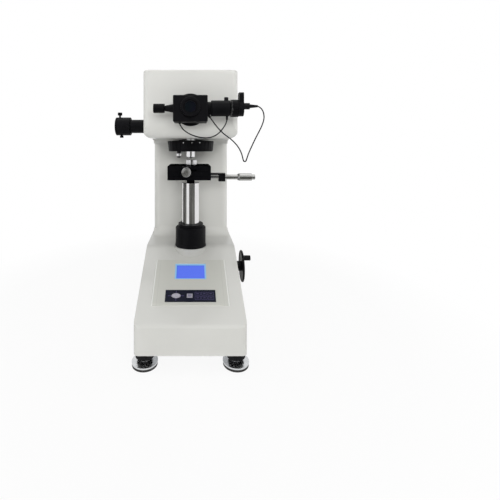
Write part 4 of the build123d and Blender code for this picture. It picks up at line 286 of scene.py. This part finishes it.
def panel_enamel():
    """Satin plate under the screen and keys, with a painted highlight strip along each bevelled
    side edge and painted shade in a fine groove.
    """
    f = Finish("panel_enamel", (0.545, 0.548, 0.505), 0.38, Coat_Weight=0.3, Coat_Roughness=0.2)
    strip_inside, strip_outside, highlight_strip_colour = 71.2, 73.5, (0.74, 0.745, 0.72)
    groove_inside, groove_outside = 63.2, 64.0

    across = abs(f.x - SCREW_X * MM)
    # Painted highlight: a pale strip along each side edge, which is also bumped up as a bevel.
    strip = across.within(strip_inside * MM, strip_outside * MM)
    groove = across.within(groove_inside * MM, groove_outside * MM)
    base = f.mix(f.grain(45, 3), shade(f.colour, 0.97), shade(f.colour, 1.03))
    # Painted shade darkens the fine groove, which the relief below also presses in.
    base = f.mix(groove * 0.5, base, shade(f.colour, 0.82))
    f.feed("Base Color", f.mix(strip, base, highlight_strip_colour))
    f.feed("Roughness", f.ramp(f.grain(8, 4), 0.32, 0.46))
    return f.relief(f.grain(0.7, 1) * 0.2 - groove * 0.8 + strip * 0.6, 0.05, 0.5)


def black_enamel(name, tint, rough=0.42, grain=0.5, shine=0.07):
    """Satin enamel on turned and milled metal: fine grain and faint rubbed patches."""
    f = Finish(name, tint, rough, Specular_IOR_Level=shine)
    f.feed("Base Color", f.mix(f.grain(16, 4), shade(tint, 0.6), shade(tint, 1.9)))
    f.feed("Roughness", f.ramp(f.grain(9, 5), rough - 0.07, rough + 0.1))
    return f.relief(f.grain(grain, 1), 0.02, 0.35)


def black_moulding():
    """Spark-textured black plastic."""
    f = Finish("black_moulding", (0.007, 0.007, 0.008), 0.55, Specular_IOR_Level=0.12)
    f.feed("Base Color", f.mix(f.grain(6, 4), (0.004, 0.004, 0.0046), (0.011, 0.011, 0.012)))
    f.feed("Roughness", f.ramp(f.cells(0.9), 0.42, 0.66))
    return f.relief(f.cells(0.7), 0.05, 0.5)


def metal(name, colour, rough, spread, grain, depth, stretch=(1, 1, 1), tarnish=0.85):
    """Bare metal whose tool marks run along the axis that stretch makes small."""
    f = Finish(name, colour, rough, Metallic=1.0)
    marks = f.grain(grain, 3, stretch)
    f.feed("Base Color", f.mix(f.grain(grain * 18, 4), shade(colour, tarnish), colour))
    f.feed("Roughness", f.ramp(marks, rough - spread, rough + spread))
    return f.relief(marks, depth, 0.5)


def zinc_plate():
    """Bright zinc over pressed steel: faint spangle and water stains."""
    f = Finish("zinc_plate", (0.66, 0.67, 0.68), 0.24, Metallic=1.0)
    f.feed("Base Color", f.mix(f.grain(11, 4), (0.52, 0.53, 0.54), (0.74, 0.75, 0.76)))
    f.feed("Roughness", f.ramp(f.cells(3.5), 0.16, 0.36))
    return f.relief(f.grain(0.8, 2, (1, 1, 6)), 0.012, 0.4)


def hard_chrome():
    """Mirror-bright plated column with hair-fine ring marks and a film of oil."""
    f = Finish("hard_chrome", (0.74, 0.74, 0.75), 0.07, Metallic=1.0)
    rings = f.grain(0.9, 2, (0.04, 0.04, 1))
    film = f.grain(22, 4)
    f.feed("Base Color", f.mix(film, (0.66, 0.655, 0.64), (0.8, 0.8, 0.81)))
    f.feed("Roughness", f.ramp(rings * 0.6 + film * 0.4, 0.035, 0.15))
    return f.relief(rings, 0.004, 0.3)


def graduated(
    name, axis, centre, count, start, end, ink, colour,
    long_every=5, metallic=1.0, rough=0.26, shine=0.5,
):
    """A turned ring with filled divisions around its axis, x or y.

    They run from start to end, in metres along the axis. Centre is where the
    axis lies across it: its y or x, and its z. Every few marks one is long.
    """
    f = Finish(name, colour, rough, Metallic=metallic, Specular_IOR_Level=shine)
    mark_share, short_share = 0.16, 0.55
    length = {"x": f.x, "y": f.y}[axis]
    across = {"x": f.y, "y": f.x}[axis] - centre[0]
    up = f.z - centre[1]

    middle = start + (end - start) * short_share
    band = length.within(min(start, end), max(start, end))
    short_band = length.within(min(start, middle), max(start, middle))
    short = lines_around(across, up, count, mark_share) * short_band
    long = lines_around(across, up, count // long_every, mark_share / long_every) * band
    mark = short.largest(long)
    turning = f.grain(0.6, 2)
    base = f.mix(f.grain(7, 4), shade(colour, 0.86), colour)
    f.feed("Base Color", f.mix(mark, base, ink))
    f.feed("Metallic", (1 - mark) * metallic)
    f.feed("Roughness", f.ramp(turning, rough - 0.06, rough + 0.1) + mark * 0.25)
    return f.relief((1 - mark) * 0.8 + turning * 0.2, 0.04, 0.4)


def barrel_steel():
    """Micrometer barrels: satin steel, each with a ruled scale on the side that is read."""
    f = Finish("ruled_barrel_steel", (0.4, 0.4, 0.39), 0.27, Metallic=1.0)
    lines_per_metre, line_share = 2000.0, 0.2
    x_barrel_start = 30.0
    front_of_axis, above_axis = 0.55, 0.6

    def scale(along, across, datum):
        """A datum line, and a row of short divisions that starts just beside it."""
        ticks = (along * lines_per_metre).fraction() < line_share
        ticks = ticks * across.within((datum + 0.2) * MM, (datum + 2.2) * MM)
        return ticks.largest(across.within((datum - 0.1) * MM, (datum + 0.1) * MM))

    on_x = f.x > (SCREW_X + x_barrel_start) * MM
    x_scale = scale(f.x, f.z, X_MICROMETER_Z) * (f.y < (SCREW_Y - front_of_axis) * MM)
    y_scale = scale(f.y, f.x, SCREW_X + Y_MICROMETER_X) * (f.z > (Y_MICROMETER_Z + above_axis) * MM)
    ink = x_scale * on_x + y_scale * (1 - on_x)
    base = f.mix(f.grain(6, 4), (0.34, 0.34, 0.33), (0.46, 0.46, 0.45))
    f.feed("Base Color", f.mix(ink, base, (0.02, 0.02, 0.02)))
    f.feed("Metallic", 1 - ink)
    f.feed("Roughness", f.ramp(f.grain(0.5, 2), 0.2, 0.36))
    return f.relief(f.grain(0.5, 2), 0.01, 0.4)


def lit_screen():
    """Backlit display: a blue field, deeper at its upper and left edges, in a pale surround."""
    f = Finish(
        "lit_blue_screen", (0.11, 0.2, 0.9), 0.2,
        Coat_Weight=0.1, Coat_Roughness=0.1, Specular_IOR_Level=0.1, Emission_Strength=0.5,
    )
    screen_s, field_half_width, field_half_height, field_drop = 121.1, 29.0, 17.0, 0.3
    left_edge, left_depth = 26.4, 0.38
    top_edge, top_depth = 13.4, 0.3
    dots_per_mm, dot_share = 2.1, 0.86
    field_blue, edge_blue, surround = (0.086, 0.142, 0.66), (0.04, 0.12, 0.52), (0.2, 0.37, 0.56)

    # Millimetres from the middle of the screen, to the right and up the slope.
    x = (f.x - SCREW_X * MM) * (1 / MM)
    s = (f.z - CREASE_Z * MM) * (1 / (MM * math.sin(SLOPE))) - screen_s
    inside = (abs(x) < field_half_width) * (abs(s + field_drop) < field_half_height)
    left = (-left_edge - x).largest(0.0) * left_depth
    top = (s - top_edge).largest(0.0) * top_depth
    dots = (x * dots_per_mm).fraction() < dot_share
    dots = dots * ((s * dots_per_mm).fraction() < dot_share)
    field = f.mix(left.largest(top).smallest(1.0), field_blue, edge_blue)
    field = f.mix(dots, shade(field_blue, 0.9), field)
    lit = f.mix(inside, surround, field)
    f.feed("Base Color", lit)
    f.feed("Emission Color", lit)
    f.feed("Roughness", f.ramp(f.grain(5, 3), 0.14, 0.24))
    return f.relief(f.grain(0.8, 1), 0.004, 0.3)


def keypad_film():
    """Navy polyester film over the keys, faintly mottled."""
    f = Finish("navy_keypad_film", (0.004, 0.0045, 0.0085), 0.42, Specular_IOR_Level=0.15)
    f.feed("Base Color", f.mix(f.grain(12, 3), (0.004, 0.005, 0.012), (0.009, 0.011, 0.024)))
    f.feed("Roughness", f.ramp(f.cells(1.0), 0.3, 0.44))
    return f.relief(f.grain(0.5, 1), 0.01, 0.4)


def key_cap():
    """Silver-grey key tops, lightly worn."""
    f = Finish("silver_key_top", (0.42, 0.41, 0.47), 0.4, Metallic=0.25)
    f.feed("Base Color", f.mix(f.grain(3, 4), (0.3, 0.29, 0.35), (0.52, 0.51, 0.57)))
    f.feed("Roughness", f.ramp(f.grain(1.2, 2), 0.32, 0.5))
    return f.relief(f.grain(0.6, 1), 0.01, 0.4)


def key_print():
    """Screen-printed violet line, slightly uneven."""
    f = Finish("violet_key_print", (0.075, 0.06, 0.17), 0.5)
    f.feed("Base Color", f.mix(f.grain(1.5, 3), shade(f.colour, 0.8), shade(f.colour, 1.1)))
    f.feed("Roughness", f.ramp(f.grain(2, 2), 0.4, 0.6))
    return f.relief(f.grain(0.6, 1), 0.01, 0.3)


def foot_rubber():
    """Moulded rubber with bloom and fine scuffs."""
    f = Finish("foot_rubber", (0.014, 0.014, 0.014), 0.75)
    f.feed("Base Color", f.mix(f.grain(9, 5), (0.01, 0.01, 0.01), (0.032, 0.031, 0.03)))
    f.feed("Roughness", f.ramp(f.grain(2, 3), 0.62, 0.86))
    return f.relief(f.grain(0.9, 2), 0.06, 0.5)


def circuit_board():
    """Green solder mask with paler runs of track and bright pads."""
    f = Finish("circuit_board", (0.012, 0.09, 0.03), 0.38, Coat_Weight=0.4)
    tracks = f.node(
        "ShaderNodeTexBrick",
        {"offset": 0.35, "squash": 0.7},
        {
            "Vector": f.place,
            "Scale": 260.0,
            "Color1": (1, 1, 1, 1),
            "Color2": (0.6, 0.6, 0.6, 1),
            "Mortar": (0, 0, 0, 1),
        },
    )
    pads = f.cells(4.2) < 0.16
    green = f.mix(tracks, (0.03, 0.19, 0.06), (0.012, 0.1, 0.032))
    f.feed("Base Color", f.mix(pads, green, (0.55, 0.52, 0.4)))
    f.feed("Metallic", pads * 0.9)
    f.feed("Roughness", f.ramp(f.grain(3, 3), 0.3, 0.5))
    return f.relief(pads * 0.6 + tracks * 0.4, 0.05, 0.5)


def cast_iron():
    """Rough casting skin with sand pits."""
    f = Finish("bare_cast_iron", (0.09, 0.09, 0.092), 0.62, Metallic=0.55)
    f.feed("Base Color", f.mix(f.grain(18, 5), (0.06, 0.058, 0.056), (0.13, 0.13, 0.132)))
    f.feed("Roughness", f.ramp(f.grain(3, 3), 0.5, 0.75))
    return f.relief(f.grain(1.6, 3), 0.18, 0.6)


def objective_barrels():
    """Black objective barrels with one bright ring each."""
    f = Finish("ringed_black_barrels", (0.006, 0.006, 0.007), 0.35)
    ring_low, ring_high = 369.5, 375.5
    ring = f.z.within(ring_low * MM, ring_high * MM)
    black = f.mix(f.grain(4, 3), (0.004, 0.004, 0.005), (0.012, 0.012, 0.013))
    f.feed("Base Color", f.mix(ring, black, (0.8, 0.8, 0.81)))
    f.feed("Metallic", ring)
    f.feed("Roughness", f.ramp(f.grain(1, 2), 0.16, 0.4))
    return f.relief(f.grain(0.5, 1), 0.01, 0.3)


def dark_lens():
    """Coated eyepiece glass over a dark tube: almost black, with violet and green bloom."""
    f = Finish("coated_lens", (0.006, 0.006, 0.009), 0.04, Specular_IOR_Level=0.1)
    f.feed("Base Color", f.mix(f.grain(14, 2), (0.006, 0.004, 0.011), (0.003, 0.008, 0.006)))
    f.feed("Roughness", f.ramp(f.grain(5, 3), 0.02, 0.09))
    return f


def lamp_glass():
    """Frosted bulb glass."""
    f = Finish("frosted_bulb_glass", (0.82, 0.8, 0.74), 0.4, IOR=1.5)
    f.feed("Base Color", f.mix(f.grain(4, 3), (0.72, 0.7, 0.63), (0.86, 0.85, 0.8)))
    f.feed("Roughness", f.ramp(f.grain(1.2, 2), 0.3, 0.55))
    return f.relief(f.grain(0.6, 1), 0.02, 0.4)


def lead_sheath():
    """Thin black sheath with a dull extruded skin."""
    f = Finish("lead_sheath", (0.006, 0.006, 0.007), 0.5, Specular_IOR_Level=0.15)
    f.feed("Base Color", f.mix(f.grain(5, 3), (0.004, 0.004, 0.005), (0.012, 0.012, 0.0135)))
    f.feed("Roughness", f.ramp(f.grain(1.5, 2), 0.42, 0.62))
    return f.relief(f.grain(0.7, 1), 0.02, 0.3)


stage_black = black_enamel("stage_black", (0.0036, 0.0036, 0.0042), 0.6, 0.4, shine=0.0)
bright_chrome = metal("bright_small_chrome", (0.8, 0.8, 0.81), 0.09, 0.04, 0.6, 0.005)

# Each finish and the solids that wear it.
FINISHES = {
    cast_enamel(): "frame_casting",
    sheet_enamel(): "head_cover rear_cover",
    panel_enamel(): "control_panel",
    black_enamel("black_anodised", (0.0036, 0.0036, 0.0043)):
        "dust_cover mic_brackets lamp_housing optical_tubes eyepiece_body encoder_housing turret",
    stage_black: "stage_base x_carriage y_table",
    black_enamel("turned_black_grips", (0.003, 0.003, 0.0036), 0.34, 0.35, shine=0.09):
        "eye_ring left_knob lamp_screw_top lamp_screw_low hand_wheel",
    black_moulding():
        "crank_handle foot_knob_1 foot_knob_2 foot_knob_3 foot_knob_4 read_button "
        "rear_fittings switch_rocker lead_fittings",
    zinc_plate(): "bottom_plate cover_screws foot_dishes",
    metal("ground_steel", (0.42, 0.42, 0.43), 0.34, 0.08, 0.5, 0.02, (1, 1, 0.1)):
        "drive_shaft lift_nut load_lever lift_cam load_spindle head_pivots",
    metal("satin_chrome", (0.7, 0.7, 0.71), 0.18, 0.07, 0.5, 0.008): "test_block",
    hard_chrome(): "elevating_screw",
    bright_chrome: "indenter",
    objective_barrels(): "objectives",
    cast_iron(): "lift_housing prism_housing",
    metal("turned_bronze", (0.5, 0.33, 0.12), 0.34, 0.1, 0.7, 0.03, (1, 1, 0.2), 0.7): "bushes",
    foot_rubber(): "foot_pads",
    lit_screen(): "lcd_screen",
    keypad_film(): "keypad_overlay",
    key_cap(): "pad_key square_key",
    circuit_board(): "electronics",
    black_enamel("motor_grey_enamel", (0.07, 0.075, 0.085), 0.42, 1.2): "loading_motor",
    dark_lens(): "eye_lens",
    lamp_glass(): "lamp_bulb",
    barrel_steel(): "mic_barrels",
    graduated(
        "ruled_x_thimble", "x", (SCREW_Y * MM, X_MICROMETER_Z * MM), 50,
        start=(SCREW_X + 108.4) * MM, end=(SCREW_X + 113) * MM,
        ink=(0.015, 0.015, 0.015), colour=(0.4, 0.4, 0.39),
    ): "x_thimble",
    graduated(
        "ruled_y_thimble", "y", ((SCREW_X + Y_MICROMETER_X) * MM, Y_MICROMETER_Z * MM), 50,
        start=(SCREW_Y - 112.4) * MM, end=(SCREW_Y - 117) * MM,
        ink=(0.015, 0.015, 0.015), colour=(0.55, 0.55, 0.54),
    ): "y_thimble",
    graduated(
        "ruled_drum", "x", ((SCREW_Y + DRUM_Y) * MM, DRUM_Z * MM), 100,
        start=(SCREW_X + 74.4) * MM, end=(SCREW_X + 77.2) * MM,
        ink=(0.3, 0.3, 0.29), colour=(0.0045, 0.0045, 0.005),
        long_every=10, metallic=0.0, rough=0.36, shine=0.07,
    ): "measuring_drum",
}

for finish, names in FINISHES.items():
    for name in names.split():
        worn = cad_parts[name].data.materials
        worn.clear()
        worn.append(finish.material)


# ---------------------------------------------------------------- small pieces

def placed(name, data):
    """A new object in the scene for a mesh, a curve, a lamp or a camera."""
    made = bpy.data.objects.new(name, data)
    bpy.context.scene.collection.objects.link(made)
    return made


def faced(name, points, faces, finish):
    """A new mesh object from points in the part's frame."""
    mesh = bpy.data.meshes.new(name)
    mesh.from_pydata([tuple(p) for p in points], [], faces)
    mesh.materials.append(finish.material)
    return placed(name, mesh)


class Shapes:
    """Several boxes and turned forms gathered into one piece."""

    def __init__(self):
        self.points, self.faces = [], []

    def add(self, points, faces):
        first = len(self.points)
        self.points += points
        self.faces += [[first + i for i in face] for face in faces]

    def slab(self, low, high, place=at):
        """A box between two corners, carried to the part by place."""
        corners = [
            place(x, y, z)
            for z in (low[2], high[2])
            for y in (low[1], high[1])
            for x in (low[0], high[0])
        ]
        self.add(
            corners,
            [(0, 2, 3, 1), (4, 5, 7, 6), (0, 1, 5, 4), (1, 3, 7, 5), (3, 2, 6, 7), (2, 0, 4, 6)],
        )

    def turned(self, profile, centre, axis, sides):
        """A closed form turned about axis; profile is (distance along it, radius) pairs."""
        turn = axis.to_track_quat("Z", "Y")
        points = [
            centre + turn @ Vector((r * math.cos(a), r * math.sin(a), d)) * MM
            for d, r in profile
            for a in (2 * math.pi * k / sides for k in range(sides))
        ]
        faces = [
            (i * sides + k, i * sides + after, (i + 1) * sides + after, (i + 1) * sides + k)
            for i in range(len(profile) - 1)
            for k, after in ((k, (k + 1) % sides) for k in range(sides))
        ]
        faces.append(tuple(reversed(range(sides))))
        faces.append(tuple((len(profile) - 1) * sides + k for k in range(sides)))
        self.add(points, faces)

    def made(self, name, finish, body, slot, smooth=False):
        """The finished piece, which rides on a body of the part."""
        made = faced(name, self.points, self.faces, finish)
        for face in made.data.polygons:
            face.use_smooth = smooth
        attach(made, body)


# The key strip: its middle up the slope, and the heights of its film and prints.
KEYPAD_S, FILM_RISE, SQUARE_KEY_RISE = 61.2, 2.0, 3.2
PRINT_DEPTH, KEY_PRINT_DEPTH = 0.08, 0.06

FLAT_KEYS = ((8.5, 19.5), (21.0, 32.0), (33.5, 44.5))
KEY_ROW_NEAR, KEY_ROW_FAR, BORDER_WIDTH = 1.0, 8.2, 0.5
BAR_INSET, BAR_S, BAR_HALF = 3.0, 4.6, 0.5

OVAL_KEY_X, CROSS_HALF = -27.5, 0.45
CROSS_ACROSS, CROSS_UP = (9.3, 15.5), (5.9, 10.6)

SQUARE_KEY_LINES = ((-0.4, 0.4), (1.6, 2.2), (-2.2, -1.6))
SQUARE_KEY_LEFT, SQUARE_KEY_RIGHT = -4.6, 1.6


def print_bar(shapes, x0, x1, s0, s1, rise=FILM_RISE, depth=PRINT_DEPTH):
    """A printed bar on the panel; s0 and s1 count from the middle of the key strip."""
    shapes.slab((x0, KEYPAD_S + s0, rise), (x1, KEYPAD_S + s1, rise + depth), on_panel)


def print_border(shapes, x0, x1, s0, s1):
    """A printed rectangular border."""
    width = BORDER_WIDTH
    print_bar(shapes, x0, x1, s0, s0 + width)
    print_bar(shapes, x0, x1, s1 - width, s1)
    print_bar(shapes, x0, x0 + width, s0 + width, s1 - width)
    print_bar(shapes, x1 - width, x1, s0 + width, s1 - width)


def key_prints():
    """Borders and bars of the flat keys, the oval key's cross and the square key's lines."""
    violet = key_print()
    borders = Shapes()
    for x0, x1 in FLAT_KEYS:
        print_border(borders, x0, x1, -KEY_ROW_FAR, -KEY_ROW_NEAR)
        print_border(borders, x0, x1, KEY_ROW_NEAR, KEY_ROW_FAR)
        for s in (-BAR_S, BAR_S):
            print_bar(borders, x0 + BAR_INSET, x1 - BAR_INSET, s - BAR_HALF, s + BAR_HALF)
    borders.made("flat_key_prints", violet, "frame", "overlay")

    cross = Shapes()
    x, half = OVAL_KEY_X, CROSS_HALF
    near, far = CROSS_ACROSS
    print_bar(cross, x - far, x - near, -half, half)
    print_bar(cross, x + near, x + far, -half, half)
    near, far = CROSS_UP
    print_bar(cross, x - half, x + half, near, far)
    print_bar(cross, x - half, x + half, -far, -near)
    cross.made("oval_key_cross", violet, "frame", "overlay")

    lines = Shapes()
    for s0, s1 in SQUARE_KEY_LINES:
        print_bar(
            lines, SQUARE_KEY_LEFT, SQUARE_KEY_RIGHT, s0, s1, SQUARE_KEY_RISE, KEY_PRINT_DEPTH
        )
    lines.made("square_key_marks", violet, "square_key", "overlay")


def slot_ends():
    """Small stops that close the table's two slots at the back, just under its top."""
    slots_x, half_width = (-35.0, 29.0), 3.98
    front, back, low, high = 42.0, 47.95, 347.52, 349.98
    stops = Shapes()
    for x in slots_x:
        stops.slab((x - half_width, front, low), (x + half_width, back, high))
    stops.made("table_slot_stops", stage_black, "y_table", "black_paint")


def turret_screws():
    """Three bright retaining screws in the front of the turret's rim."""
    turret_y, rim_radius, seat_radius, height = 28.0, 54.9, 54.3, 400.6
    domed_head = [(-0.8, 1.5), (0.9, 1.5), (1.2, 1.1)]
    heads = Shapes()
    for x in (-16.0, 3.3, 20.0):
        turn = math.asin(x / rim_radius)
        out = Vector((math.sin(turn), -math.cos(turn), 0))
        centre = at(seat_radius * out.x, turret_y + seat_radius * out.y, height)
        heads.turned(domed_head, centre, out, 20)
    heads.made("turret_screws", bright_chrome, "turret", "chrome", smooth=True)


key_prints()
slot_ends()
turret_screws()


# ---------------------------------------------------------------- leads

# From the drum unit's connector down to the sharp fold, and up to the eyepiece block.
ENCODER_ROUTE = [
    (124.0, -149.0, 466.0), (129.4, -149.1, 463.6), (134.4, -149.5, 456.0),
    (136.0, -150.5, 443.5), (130.5, -152.0, 428.0), (121.5, -153.0, 411.5),
    (112.5, -153.4, 393.0), (106.0, -153.5, 378.5), (103.2, -153.6, 370.0),
    (101.7, -153.7, 365.2), (99.3, -153.7, 364.1), (96.9, -153.7, 365.2),
    (93.9, -153.5, 379.0), (87.0, -153.0, 392.5), (74.5, -152.0, 405.5),
    (59.0, -151.0, 416.5), (46.0, -150.0, 431.0), (36.5, -149.0, 445.0),
]

# From the eyepiece block in one bow to the drum unit.
BUTTON_ROUTE = [
    (-20.0, -145.0, 434.0), (-16.5, -144.0, 426.5), (-8.5, -142.5, 419.0),
    (4.0, -141.0, 412.5), (20.0, -140.0, 408.0), (37.0, -140.5, 408.0),
    (50.5, -142.0, 414.0), (60.0, -144.5, 424.5), (66.0, -148.0, 434.5),
    (67.5, -149.0, 441.0),
]


def lead(name, route, solid, finish):
    """A thin lead as one smooth spline through the route's points."""
    line = bpy.data.curves.new(name, "CURVE")
    line.dimensions, line.bevel_depth = "3D", LEAD_DIAMETER * MM / 2
    line.bevel_resolution, line.resolution_u = 5, 10
    line.use_fill_caps = True
    spline = line.splines.new("NURBS")
    spline.points.add(len(route) - 1)
    for point, place in zip(spline.points, route):
        point.co = (*at(*place), 1)
    spline.order_u = 3
    spline.use_endpoint_u = True
    line.materials.append(finish.material)
    made = placed(name, line)
    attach(made, "eyepiece")
    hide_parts(solid)
    at(*route[0])


sheath = lead_sheath()
lead("encoder_lead_line", ENCODER_ROUTE, "encoder_lead", sheath)
lead("button_lead_line", BUTTON_ROUTE, "button_lead", sheath)


# ---------------------------------------------------------------- studio

def studio_world():
    """Plain white surroundings as seen by eye, metal and glass, and a dimmer white fill."""
    fill = 0.28
    world = bpy.data.worlds.new("plain_studio")
    bpy.context.scene.world = world
    world.use_nodes = True
    nodes = Nodes(world.node_tree)
    level = nodes.seen_directly() * (1 - fill) + fill
    white = nodes.node("ShaderNodeBackground", {}, {"Color": (1, 1, 1, 1), "Strength": level})
    nodes.node("ShaderNodeOutputWorld", {}, {"Surface": white})


def floor():
    """A matt white sheet that runs out to plain white and keeps the tester's shadow near it."""
    f = Finish("studio_floor", (0.95, 0.95, 0.95), 0.9, Specular_IOR_Level=0.0)
    half = 6000.0 * MM
    whiteness_near, whiteness_start, whiteness_per_metre = 0.88, 0.65, 0.5

    f.feed("Base Color", f.mix(f.grain(400, 2), (0.94, 0.94, 0.94), (0.96, 0.96, 0.96)))
    reach = f.node("ShaderNodeVectorMath", {"operation": "LENGTH"}, {0: f.place}).out("Value")
    plain = reach * whiteness_per_metre + whiteness_start
    plain = plain.largest(whiteness_near).smallest(1.0)
    white = f.node("ShaderNodeEmission", {}, {"Color": (1, 1, 1, 1), "Strength": 1.0})
    amount = f.seen_directly() * plain
    joined = f.node("ShaderNodeMixShader", {}, {0: amount, 1: f.surface, 2: white})
    f.tree.links.new(joined.socket, f.output.inputs["Surface"])
    corners = [(-half, -half, 0), (half, -half, 0), (half, half, 0), (-half, half, 0)]
    faced("studio_floor", corners, [(0, 1, 2, 3)], f)


def lamp(name, place, width, height, power, seen=True):
    """A soft rectangular lamp turned to the tester, in metres and watts.

    Seen tells whether gloss mirrors it.
    """
    middle = Vector((0.0, -0.08, 0.25))
    light = bpy.data.lights.new(name, "AREA")
    light.shape, light.size, light.size_y, light.energy = "RECTANGLE", width, height, power
    made = placed(name, light)
    made.location = place
    made.rotation_mode = "QUATERNION"
    made.rotation_quaternion = (middle - Vector(place)).to_track_quat("-Z", "Y")
    made.visible_glossy = seen


def grey_card(name, points, faces, level):
    """A card that only metal and gloss see, so that bright metal has something dark to mirror."""
    grey = (level, level, level * 0.93)
    f = Finish(name, grey, 0.9, Specular_IOR_Level=0.0)
    f.feed("Base Color", f.mix(f.grain(300, 1), shade(grey, 0.9), grey))
    made = faced(name, points, faces, f)
    for sight in ("visible_camera", "visible_diffuse", "visible_shadow", "visible_transmission"):
        setattr(made, sight, False)


def floor_fan(name, start, end, level):
    """A grey card on the floor round the screw, from start to end degrees right of the front."""
    near, far, rise, steps = 230, 4500, 2, 12
    turns = [math.radians(start + (end - start) * k / steps) for k in range(steps + 1)]
    rim = [(math.sin(turn), -math.cos(turn)) for turn in turns]
    points = [at(reach * x, reach * y, rise) for reach in (near, far) for x, y in rim]
    faces = [(k, k + 1, k + steps + 2, k + steps + 1) for k in range(steps)]
    grey_card(name, points, faces, level)


def front_card():
    """An upright grey card in front of the tester."""
    left, right, y, top, level = -440, 800, -1550, 800, 0.13
    corners = [(left, 0), (right, 0), (right, top), (left, top)]
    grey_card("front_card", [at(x, y, z) for x, z in corners], [(0, 1, 2, 3)], level)


def camera():
    """A level camera in front of the tester, framed by its shift."""
    lens = bpy.data.cameras.new("table_camera")
    lens.sensor_fit, lens.sensor_width, lens.lens = "HORIZONTAL", 36.0, 23.04
    lens.shift_x, lens.shift_y = 0.1166, -0.205
    lens.clip_start, lens.clip_end = 0.05, 30
    made = placed("table_camera", lens)
    made.location = at(2.4, -738.5, 390)
    made.rotation_euler = (math.radians(90), 0, 0)
    bpy.context.scene.camera = made


studio_world()
floor()

# Place, width, height and power.
lamp("key_lamp", (1.1, -1.5, 1.7), 0.9, 0.7, 5.0)
lamp("side_lamp", (-1.6, -1.1, 1.1), 0.5, 1.2, 3.0)
lamp("front_lamp", (0.15, -2.3, 0.85), 1.4, 0.7, 27.0, seen=False)
lamp("left_lamp", (-2.2, 0.15, 0.9), 1.2, 1.2, 7.0, seen=False)
lamp("right_lamp", (2.2, 0.15, 0.9), 1.2, 1.2, 7.0, seen=False)
lamp("back_lamp", (0.0, 2.3, 0.9), 1.4, 1.0, 11.0, seen=False)
lamp("top_lamp", (0.0, 0.0, 2.2), 1.6, 1.6, 9.0)

floor_fan("left_fan", -120, -57, 0.2)
floor_fan("dark_front_fan", -20, 18, 0.1)
floor_fan("front_fan", 18, 57, 0.17)
front_card()
camera()
bpy.context.scene.view_settings.view_transform = "Standard"
